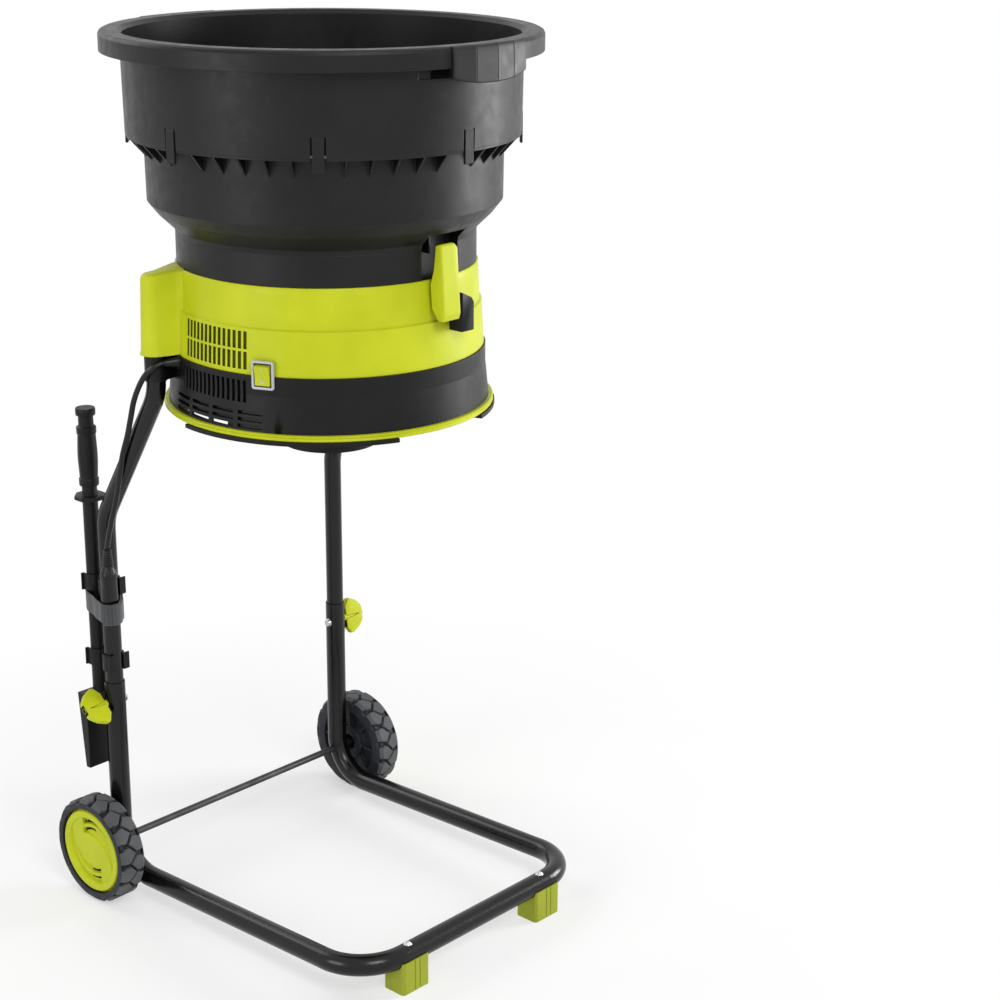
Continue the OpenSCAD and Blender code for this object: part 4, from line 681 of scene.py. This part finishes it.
# a socket: its plan outline, rounded into the drum, is drawn in by the draft on its way up and rounded over
# into a sloping top, which runs in to a flat strip along the line from the drum to the leg
def legSocket(side):
    s = socket
    seat = np.array(s["seat"])
    front, rear = (onDrum(degrees, s["creaseR"]) for degrees in s["crease"])
    across = front - rear
    arc = math.atan2(across[1], across[0]) - np.linspace(0, np.pi, s["roundRows"])
    end = seat + s["r"] * np.stack([np.cos(arc), np.sin(arc)], 1)
    frontRoot, rearRoot, innerRoot = (onDrum(*root) for root in s["roots"])
    corners = np.concatenate([[frontRoot, front], end, [rear, rearRoot, innerRoot]])
    radii = [s["rootRound"], s["creaseRound"]] + [s["endRound"]] * len(end)
    radii += [s["creaseRound"], s["rootRound"], s["rootRound"]]
    rough = roundedOutline(corners, radii, 7)
    ring = np.concatenate([rough, rough[:1]])
    length = lengthAlong(ring)
    even = np.linspace(0, length[-1], s["points"], endpoint=False)
    outline = atLengths(even, length, ring)
    for lap in range(s["laps"]):   # the outline's corners are eased by averaging neighbours
        outline = (outline + np.roll(outline, 1, 0) + np.roll(outline, -1, 0)) / 3
    normal = outwardNormals(outline, seat)
    root = onDrum(*s["spine"])
    span = np.linalg.norm(seat - root)
    way = (seat - root) / span
    spine = root + np.clip((outline - root) @ way, 0, span)[:, None] * way
    strip = spine + unit(outline - spine) * s["strip"]
    bend = np.linspace(0, np.pi / 2, 9)
    climb = np.linspace(*s["climb"])
    over = s["draft"] + s["topRound"] * (1 - np.cos(bend))
    inset = np.concatenate([s["lipInsets"], s["draft"] * climb, over])
    plan = outline[None] - normal[None] * inset[:, None, None]
    plan = np.concatenate([plan, (plan[-1] * 0.5 + strip * 0.5)[None], strip[None]])
    straight = len(s["lipInsets"]) + len(climb)
    share = np.concatenate([s["lipShares"], climb, np.ones(len(plan) - straight)])
    drop = np.concatenate([np.zeros(straight), s["topRound"] * (1 - np.sin(bend)), np.zeros(2)])
    far = np.linalg.norm(plan, axis=2)
    top = housing["high"] + s["proud"] - s["drop"] * np.clip((far - s["creaseR"]) / s["slope"], 0, 1)
    height = s["low"] + (top - s["low"]) * share[:, None] - drop[:, None]
    grid = np.concatenate([plan, height[..., None]], 2)
    grid[..., 0] *= -side
    return grid


def makeHousing():
    h = housing
    parts = [(housingDrum(), *torus)] + [(legSocket(side), *closedTube) for side in (-1, 1)]
    obj = makePiece("upperHousing", parts, "stand", "lime_plastic", ["upper_housing"], sharp=35)
    x, y, z = faceCentres(obj).T
    turn = np.degrees(np.arctan2(y, x)) % 360
    depth = drumRadius(z) - np.hypot(x, y)
    # the vents' sunk walls and floors get the darker olive: painted shade
    sunk = (depth > h["shadeDepth"][0]) & (depth < h["shadeDepth"][1])
    shadeFaces(obj, ventShade, sunk & (np.abs(turn - h["ventAt"]) < h["shadeTurn"]) & (z < h["shadeTop"]))


makeHousing()
print("housing made")


# baffle: curved strips behind the casing's slots, open behind most of the lowest row, along the wall's cone
baffle = {"thick": 0.0012, "wallZ": (0.730, 0.757), "wallR": (0.2068, 0.2023), "columns": 40,
          "strips": ((157.5, 206.0, 0.7396, 0.7566), (188.6, 206.0, 0.7308, 0.7402),
                     (157.5, 198.5, 0.7624, 0.7964))}


def makeBaffle():
    parts = []
    for first, last, low, high in baffle["strips"]:
        z = np.array([low, high, high, low])
        r = np.interp(z, baffle["wallZ"], baffle["wallR"]) - np.array([0, 0, 1, 1]) * baffle["thick"]
        a = np.radians(np.linspace(first, last, baffle["columns"]))[:, None]
        parts.append((polar(r, a, z), *closedTube))
    makePiece("slotBaffle", parts, "stand", "black_plastic", sharp=30)


makeBaffle()


# latch lever: the side outline carried across, drawn in along its normals by a quarter circle near both
# flanks, one top corner lowered along an arc, and a nose behind it
lever = {"half": 0.0151, "edge": 0.0016, "corner": 0.009, "cornerFrom": 0.935, "cornerRun": 0.020, "rows": 26,
         "side": ((-0.2032, 0.876), (-0.2005, 0.906), (-0.2062, 0.925), (-0.2098, 0.956),
                  (-0.2192, 0.960), (-0.2250, 0.870), (-0.2225, 0.862), (-0.2150, 0.862)),
         "radii": (0.003, 0.004, 0.004, 0.002, 0.0035, 0.004, 0.0015, 0.002),
         "nose": ((0.0082, 0.0143), (-0.2120, -0.1893), (0.9420, 0.9512)),
         "noseRadii": (0.0003, 0.001, 0.0025, 0.0003)}


def makeLever():
    v = lever
    outline = roundedOutline(v["side"], v["radii"], 6)
    normal = outwardNormals(outline, outline.mean(0))
    bend = np.linspace(0, np.pi / 2, 6)
    flank = v["half"] - v["edge"] + v["edge"] * np.sin(bend)
    x = np.concatenate([-flank[::-1], np.linspace(-flank[0], flank[0], v["rows"])[1:-1], flank])
    past = np.clip(np.abs(x) - flank[0], 0, None)
    inset = v["edge"] - np.sqrt(np.clip(v["edge"] ** 2 - past ** 2, 0, None))
    flat = outline[None] - normal[None] * inset[:, None, None]
    over = np.clip(x - (v["half"] - v["corner"]), 0, v["corner"])
    lowered = v["corner"] - np.sqrt(v["corner"] ** 2 - over ** 2 * 0.999)   # just short of an upright end
    high = np.clip((flat[..., 1] - v["cornerFrom"]) / v["cornerRun"], 0, 1)
    z = flat[..., 1] - lowered[:, None] * high
    body = np.stack([np.repeat(x[:, None], len(outline), 1), flat[..., 0], z], -1)
    across, depth, height = v["nose"]
    section = roundedOutline(rectangle(*depth, *height), v["noseRadii"], 5)
    nose = np.stack([np.c_[np.full(len(section), end), section] for end in across])
    parts = [(body, *closedTube), (nose, *closedTube)]
    makePiece("latchLever", parts, "lever", "lime_plastic", ["latch_lever"], sharp=35)


# hinge block: a slanted outline carried out from the housing, its front face drawn in to soften the edges
hinge = {"back": -0.1975, "front": -0.2227, "behindFront": (0.0012, 0.0004, 0.0),
         "shrink": (1.0, 0.98, 0.945), "radii": (0.0012, 0.0015, 0.002, 0.002, 0.001),
         "outline": ((0.0195, 0.8435), (0.0415, 0.8435), (0.0415, 0.8800), (0.0375, 0.8860),
                     (0.0195, 0.8945))}


def makeHinge():
    flat = roundedOutline(hinge["outline"], hinge["radii"], 5)
    middle = flat.mean(0)
    y = np.append(hinge["back"], hinge["front"] + np.array(hinge["behindFront"]))
    shrink = np.append(1.0, hinge["shrink"])
    plan = middle + (flat - middle)[None] * shrink[:, None, None]
    grid = np.stack([plan[..., 0], np.repeat(y[:, None], len(flat), 1), plan[..., 1]], -1)
    makePiece("hingeBlock", [(grid, *closedTube)], "stand", "black_plastic", ["latch_block"], sharp=35)


makeHinge()
makeLever()
print("baffle and lever made")


# hand grips on the rim: flat facets between their lines, so a facet's radius is divided by the cosine of the
# angle from its middle; a curved lower edge, and the section closed round the skirt
rimGrip = {"at": (-87.5, 92.5), "half": 13.6, "columns": 60, "r": 0.2840, "inner": 0.2752, "innerTop": 1.2039,
           "lines": (-6.6, 0.8, 7.4), "groove": 0.0009, "grooveHalf": 0.07, "grooveReach": 0.14,
           "low": 1.1590, "rise": 0.0085, "risePower": 2.4, "endShare": 0.985, "endRun": 0.25,
           "endDrop": 0.0012,
           "lowSteps": ((-0.0016, 0.0), (-0.0005, 0.0004), (0.0, 0.0016), (0.0002, 0.02)),
           "topSteps": ((-0.0004, 1.1985), (-0.0016, 1.2022), (-0.0042, 1.2039), (-0.0055, 1.2043)),
           "slot": (-16.0, 16.0, 40), "slotR": (0.2522, 0.2531), "slotZ": (1.1622, 1.1742)}
# painted shade for the finger slots, on thin dark patches
slotShade = mouldedPlastic("slotShade", (4, 4, 4), (7, 7, 7), rough=0.7, spec=0.05)


def gripGrid(middle):
    g = rimGrip
    lines, reach = np.array(g["lines"]), g["grooveReach"]
    stops = np.concatenate([[-g["half"]], lines, [g["half"]]])
    spread = np.concatenate([np.linspace(-g["half"], g["half"], g["columns"]), lines, lines - reach,
                             lines + reach, stops[[0, -1]] * g["endShare"]])
    local = np.unique(spread.round(4))
    cell = np.clip(np.searchsorted(stops, local, side="right") - 1, 0, len(stops) - 2)
    mid = (stops[cell] + stops[cell + 1]) / 2
    halfCell = (stops[cell + 1] - stops[cell]) / 2
    face = g["r"] * np.cos(np.radians(halfCell)) / np.cos(np.radians(local - mid))
    face -= g["groove"] * (np.abs(local[:, None] - lines) < g["grooveHalf"]).any(1)
    face -= g["endDrop"] * (1 - smooth((g["half"] - np.abs(local)) / g["endRun"]))
    low = g["low"] + g["rise"] * (np.abs(local) / g["half"]) ** g["risePower"]
    level = 0 * face
    section = [(face + out, low + up) for out, up in g["lowSteps"]]
    section += [(face + out, level + height) for out, height in g["topSteps"]]
    section += [(level + g["inner"], level + g["innerTop"]), (level + g["inner"], low)]
    r, z = (np.stack(values, 1) for values in zip(*section))
    return polar(r, np.radians(local + middle)[:, None], z)


# a thin dark patch inside a finger slot: painted shade
def shadePatchGrid(middle):
    r, z = np.array(rectangle(*rimGrip["slotR"], *rimGrip["slotZ"])).T
    return polar(r, np.radians(np.linspace(*rimGrip["slot"]) + middle)[:, None], z)


def makeGrips():
    grips = [(gripGrid(middle), *closedTube) for middle in rimGrip["at"]]
    makePiece("rimGrips", grips, "hopper", "hopper_plastic", sharp=20)
    # painted shade: a dark patch hung in each finger slot
    shadePatches = [(shadePatchGrid(middle), *closedTube) for middle in rimGrip["at"]]   # dark, in each finger slot
    shadePatch = makePiece("slotShadePatch", shadePatches, "hopper", "hopper_plastic", sharp=30)
    shadePatch.data.materials[0] = slotShade


makeGrips()
print("grips made")


# switch: frame of nested rounded rectangles at rising heights, and the two marks on the rocker's slopes
switch = {"turn": 203.75, "z": 0.8025, "r": 0.20664, "wide": 0.0304, "high": 0.0368, "round": 0.0035,
          "leastRound": 0.0008, "steps": ((0.0, 0.0), (0.0, 0.0016), (0.0008, 0.0028), (0.0019, 0.0032),
                                          (0.0030, 0.0029), (0.0036, 0.0018), (0.0036, 0.0)),
          "rockerR": 0.2075, "rest": 8.0, "end": (0.004, 0.0125), "middle": 0.003, "barAt": 0.0066,
          "bar": (0.0007, 0.0028), "barRound": 0.0004, "ringAt": -0.0066, "ringR": (0.0021, 0.0031),
          "marks": (-0.0006, 0.0003)}


def onSwitch(u, v, out, r):
    a = math.radians(switch["turn"])
    normal, side = np.array([math.cos(a), math.sin(a), 0]), np.array([-math.sin(a), math.cos(a), 0])
    base = normal * r + np.array([0, 0, switch["z"]])
    return base + u[..., None] * side + v[..., None] * np.array([0, 0, 1]) + out[..., None] * normal


# the rocker's face is a shallow V, leaned by its rest angle
def onRocker(u, v, proud):
    s = switch
    out = s["middle"] + (s["end"][0] - s["middle"]) * np.abs(v) / s["end"][1] + proud
    c, n = math.cos(math.radians(s["rest"])), math.sin(math.radians(s["rest"]))
    return onSwitch(u, v * c - out * n, out * c + v * n, s["rockerR"])


def makeSwitch():
    s = switch
    rings = []
    for inset, height in s["steps"]:
        x, y = s["wide"] / 2 - inset, s["high"] / 2 - inset
        flat = roundedOutline(rectangle(-x, x, -y, y), max(s["round"] - inset, s["leastRound"]), 7)
        rings.append(onSwitch(flat[:, 0], flat[:, 1], np.full(len(flat), height), s["r"]))
    parts = [(np.stack(rings, 1), *torus)]
    makePiece("switchBezel", parts, "stand", "bezel_plastic", ["switch_bezel"], sharp=30)
    x, y = s["bar"]
    u, v = roundedOutline(rectangle(-x, x, -y, y), s["barRound"], 4).T
    lift = np.array(s["marks"])[:, None]
    bar = onRocker(u + 0 * lift, v + s["barAt"] + 0 * lift, lift + 0 * u)
    a = fullTurn(40)[:, None]
    radius, proud = np.array(rectangle(*s["ringR"], *s["marks"])).T
    ring = onRocker(radius * np.cos(a), radius * np.sin(a) + s["ringAt"], proud + 0 * a)
    marks = [(bar, *closedTube), (ring, *torus)]
    makePiece("rockerMarks", marks, "rocker", "bezel_plastic", sharp=30)


makeSwitch()


# tamper grip: profile of collars and finger waist, the guard's radius squared off into eight sides, and a
# cosine of eight waves in the waist's radius
tamper = {"axis": (-0.210, 0.254), "base": 0.573, "columns": 64, "guardTop": 0.0062, "guardFrom": 0.015,
          "guardGrow": 1.04, "waist": (0.035, 0.086), "waves": 8, "waveShare": 0.012,
          "profile": ((0.0, 0.000), (0.0197, 0.000), (0.0207, 0.001), (0.0207, 0.005), (0.0197, 0.006),
                      (0.0106, 0.0065), (0.0102, 0.010), (0.0102, 0.0188), (0.0128, 0.0195), (0.0134, 0.0206),
                      (0.0134, 0.0292), (0.0128, 0.0300), (0.0122, 0.0305), (0.0126, 0.040), (0.0133, 0.055),
                      (0.0133, 0.066), (0.0127, 0.080), (0.0122, 0.0912), (0.0128, 0.0920), (0.0134, 0.0932),
                      (0.0134, 0.1012), (0.0128, 0.1020), (0.0104, 0.1028), (0.0102, 0.108), (0.0102, 0.1168),
                      (0.0128, 0.1180), (0.0134, 0.1192), (0.0134, 0.1268), (0.0126, 0.1280), (0.0, 0.1280))}


def makeTamperGrip():
    t = tamper
    r, h = np.array(t["profile"]).T
    turn = fullTurn(t["columns"])
    eight = math.cos(math.pi / 8) / np.cos((turn + math.pi / 8) % (math.pi / 4) - math.pi / 8)
    radius = np.repeat(r[None], len(turn), 0)
    guard = (h < t["guardTop"]) & (r > t["guardFrom"])
    radius[:, guard] *= (t["guardGrow"] * eight)[:, None]
    waist = (h > t["waist"][0]) & (h < t["waist"][1])
    radius[:, waist] *= 1 + t["waveShare"] * np.cos(turn * t["waves"])[:, None]
    grid = np.stack([radius, np.repeat(h[None], len(turn), 0)], -1)
    points = turned(grid, turn, (*t["axis"], t["base"]), (0, 0, 1), (1, 0, 0))
    makePiece("tamperGrip", [(points, *spun)], "tamper", "black_plastic", ["tamper_grip"], sharp=35)


makeTamperGrip()


# wing knobs: the wing's outline shrinks towards both faces, which rounds its edge, and a boss with a hole
# stands in its middle; half the outline is given, in shares of the wing's width and depth, and each step of
# the boss is how much less than its radius and how far from its foot or end
knob = {"y": 0.221, "z": 0.285, "foot": 0.2253, "length": 0.0385, "neck": 0.0035, "wing": 0.0275,
        "thick": 0.0104, "tilt": {-1: -48.0, 1: -10.0},
        "halfShares": ((0.60, 0.0), (0.98, 0.20), (1.0, 0.34), (0.80, 0.68), (0.42, 0.98)),
        "halfRadii": (0.002, 0.001, 0.001, 0.008, 0.009), "layers": 15, "crownPower": 3.2, "crownShare": 0.10,
        "middleShare": 0.42, "boss": 0.0055, "hole": 0.0036, "holeFrom": 0.001,
        "footSteps": ((0.001, 0.0), (0.0, 0.001), (0.0, 0.010)),
        "endSteps": ((0.0004, 0.004), (0.0012, 0.0012), (0.0020, 0.0)),
        "holeSteps": ((-0.0004, 0.0), (0.0, 0.0005), (0.0, 0.008), (0.0004, 0.0084))}
# painted shade for the inside of the boss's hole
holeShade = mouldedPlastic("holeShade", (22, 24, 8), (30, 33, 10), rough=0.6, spec=0.1)


def makeKnob(side, node, piece):
    k = knob
    tilt = math.radians(k["tilt"][side])
    out = np.array([side, 0, 0.0])
    wide = np.array([0, -math.sin(tilt), math.cos(tilt)])
    thick = np.array([0, math.cos(tilt), math.sin(tilt)])
    origin = np.array([side * k["foot"], k["y"], k["z"]])
    deep = k["length"] - k["neck"]
    half, radii = np.array(k["halfShares"]) * (k["wing"], deep), np.array(k["halfRadii"])
    corners = np.roll(np.concatenate([half, half[::-1] * (-1, 1)]), 1, 0)
    outline = roundedOutline(corners, np.roll(np.concatenate([radii, radii[::-1]]), 1), 6)
    layers = np.sin(np.linspace(-1, 1, k["layers"]) * np.pi / 2)
    crown = 1 - np.sqrt(np.clip(1 - np.abs(layers) ** k["crownPower"], 0, 1))
    middle = np.array([0, deep * k["middleShare"]])
    flat = middle + (outline - middle)[None] * (1 - k["crownShare"] * crown)[:, None, None]
    offset = np.repeat(layers[:, None] * k["thick"] / 2, flat.shape[1], 1)
    wing = origin + flat[..., :1] * wide + (flat[..., 1:] + k["neck"]) * out + offset[..., None] * thick
    end, boss, hole = k["length"], k["boss"], k["hole"]
    profile = [(hole - k["holeSteps"][-1][0], 0)] + [(boss - less, at) for less, at in k["footSteps"]]
    profile += [(boss - less, end - at) for less, at in k["endSteps"]]
    profile += [(hole - less, end - at) for less, at in k["holeSteps"]]
    stub = turned(np.array(profile), fullTurn(36), origin, out, (0, 1, 0))
    obj = makePiece(piece, [(wing, *closedTube), (stub, *torus)], node, "lime_plastic", [node], sharp=40)
    far = faceCentres(obj) - origin
    # the hole's wall gets the dark finish: painted shade
    shadeFaces(obj, holeShade, (np.hypot(far[:, 1], far[:, 2]) < hole + hair) & (far @ out > k["holeFrom"]))


makeKnob(-1, "left_knob", "leftKnob")
makeKnob(1, "right_knob", "rightKnob")
print("switch, grip and knobs made")


# stage: floor, surroundings and lamps, each lamp with its place, power and size
stage = {"size": 30.0, "greys": (0.93, 0.97), "mottle": 3.0, "rough": 0.85, "white": (0.45, 1.0),
         "fade": (0.35, 1.1), "surround": (0.44, 1.0), "aim": (0, 0, 0.6),
         "lamps": {"key": ((-1.2, -2.8, 2.9), 52, 1.5), "side": ((2.8, -1.6, 1.05), 70, 1.2),
                   "back": ((-0.6, 2.8, 2.6), 26, 1.8), "fill": ((-2.8, 0.2, 1.2), 20, 1.2)}}


# 1 where the surface is seen directly, in a gloss or through something, 0 where it only gives light
def seenDirectly(tree):
    path = addNode(tree, "ShaderNodeLightPath")
    seen = path.outputs["Is Camera Ray"]
    for kind in ("Is Glossy Ray", "Is Transmission Ray"):
        either = addNode(tree, "ShaderNodeMath", operation="MAXIMUM")
        link(seen, either.inputs[0])
        link(path.outputs[kind], either.inputs[1])
        seen = either.outputs[0]
    return seen


def makeFloor():
    mesh = bpy.data.meshes.new("floor")
    size = stage["size"]
    mesh.from_pydata([(x, y, 0) for x, y in rectangle(-size, size, -size, size)], [], [(0, 1, 2, 3)])
    floor = bpy.data.objects.new("floor", mesh)
    scene.collection.objects.link(floor)
    material, tree, shader = newMaterial("paleFloor")
    shader.inputs["Roughness"].default_value = stage["rough"]
    dark, light = ((grey, grey, grey, 1) for grey in stage["greys"])
    tone = mixColour(tree, ramp(tree, noise(tree, stage["mottle"]), 0.0, 1.0), dark, light)
    link(tone, shader.inputs["Base Color"])
    # seen directly the floor is paper white away from the object and keeps a share of its shadow near it
    white = addNode(tree, "ShaderNodeEmission", Color=(1, 1, 1, 1), Strength=1.0)
    far = addNode(tree, "ShaderNodeVectorMath", operation="LENGTH")
    link(objectPlace(tree), far.inputs[0])
    factor = addNode(tree, "ShaderNodeMath", operation="MULTIPLY")
    link(seenDirectly(tree), factor.inputs[0])
    link(ramp(tree, far.outputs["Value"], *stage["white"], *stage["fade"]), factor.inputs[1])
    mixed = addNode(tree, "ShaderNodeMixShader")
    link(factor.outputs[0], mixed.inputs[0])
    link(shader.outputs[0], mixed.inputs[1])
    link(white.outputs[0], mixed.inputs[2])
    link(mixed.outputs[0], tree.nodes["Material Output"].inputs["Surface"])
    mesh.materials.append(material)


def makeSurround():
    world = bpy.data.worlds.new("studio")
    scene.world = world
    world.use_nodes = True
    tree = world.node_tree
    background = tree.nodes["Background"]
    background.inputs["Color"].default_value = (1, 1, 1, 1)
    strength = ramp(tree, seenDirectly(tree), *stage["surround"], 0.0, 1.0)
    link(strength, background.inputs["Strength"])


def makeLamps():
    for name, (place, power, size) in stage["lamps"].items():
        data = bpy.data.lights.new(name, "AREA")
        data.energy, data.size = power, size
        lamp = bpy.data.objects.new(name, data)
        aim = Vector(stage["aim"]) - Vector(place)
        lamp.matrix_world = Matrix.Translation(place) @ aim.to_track_quat("-Z", "Y").to_matrix().to_4x4()
        scene.collection.objects.link(lamp)


makeFloor()
makeSurround()
makeLamps()
print("stage made")
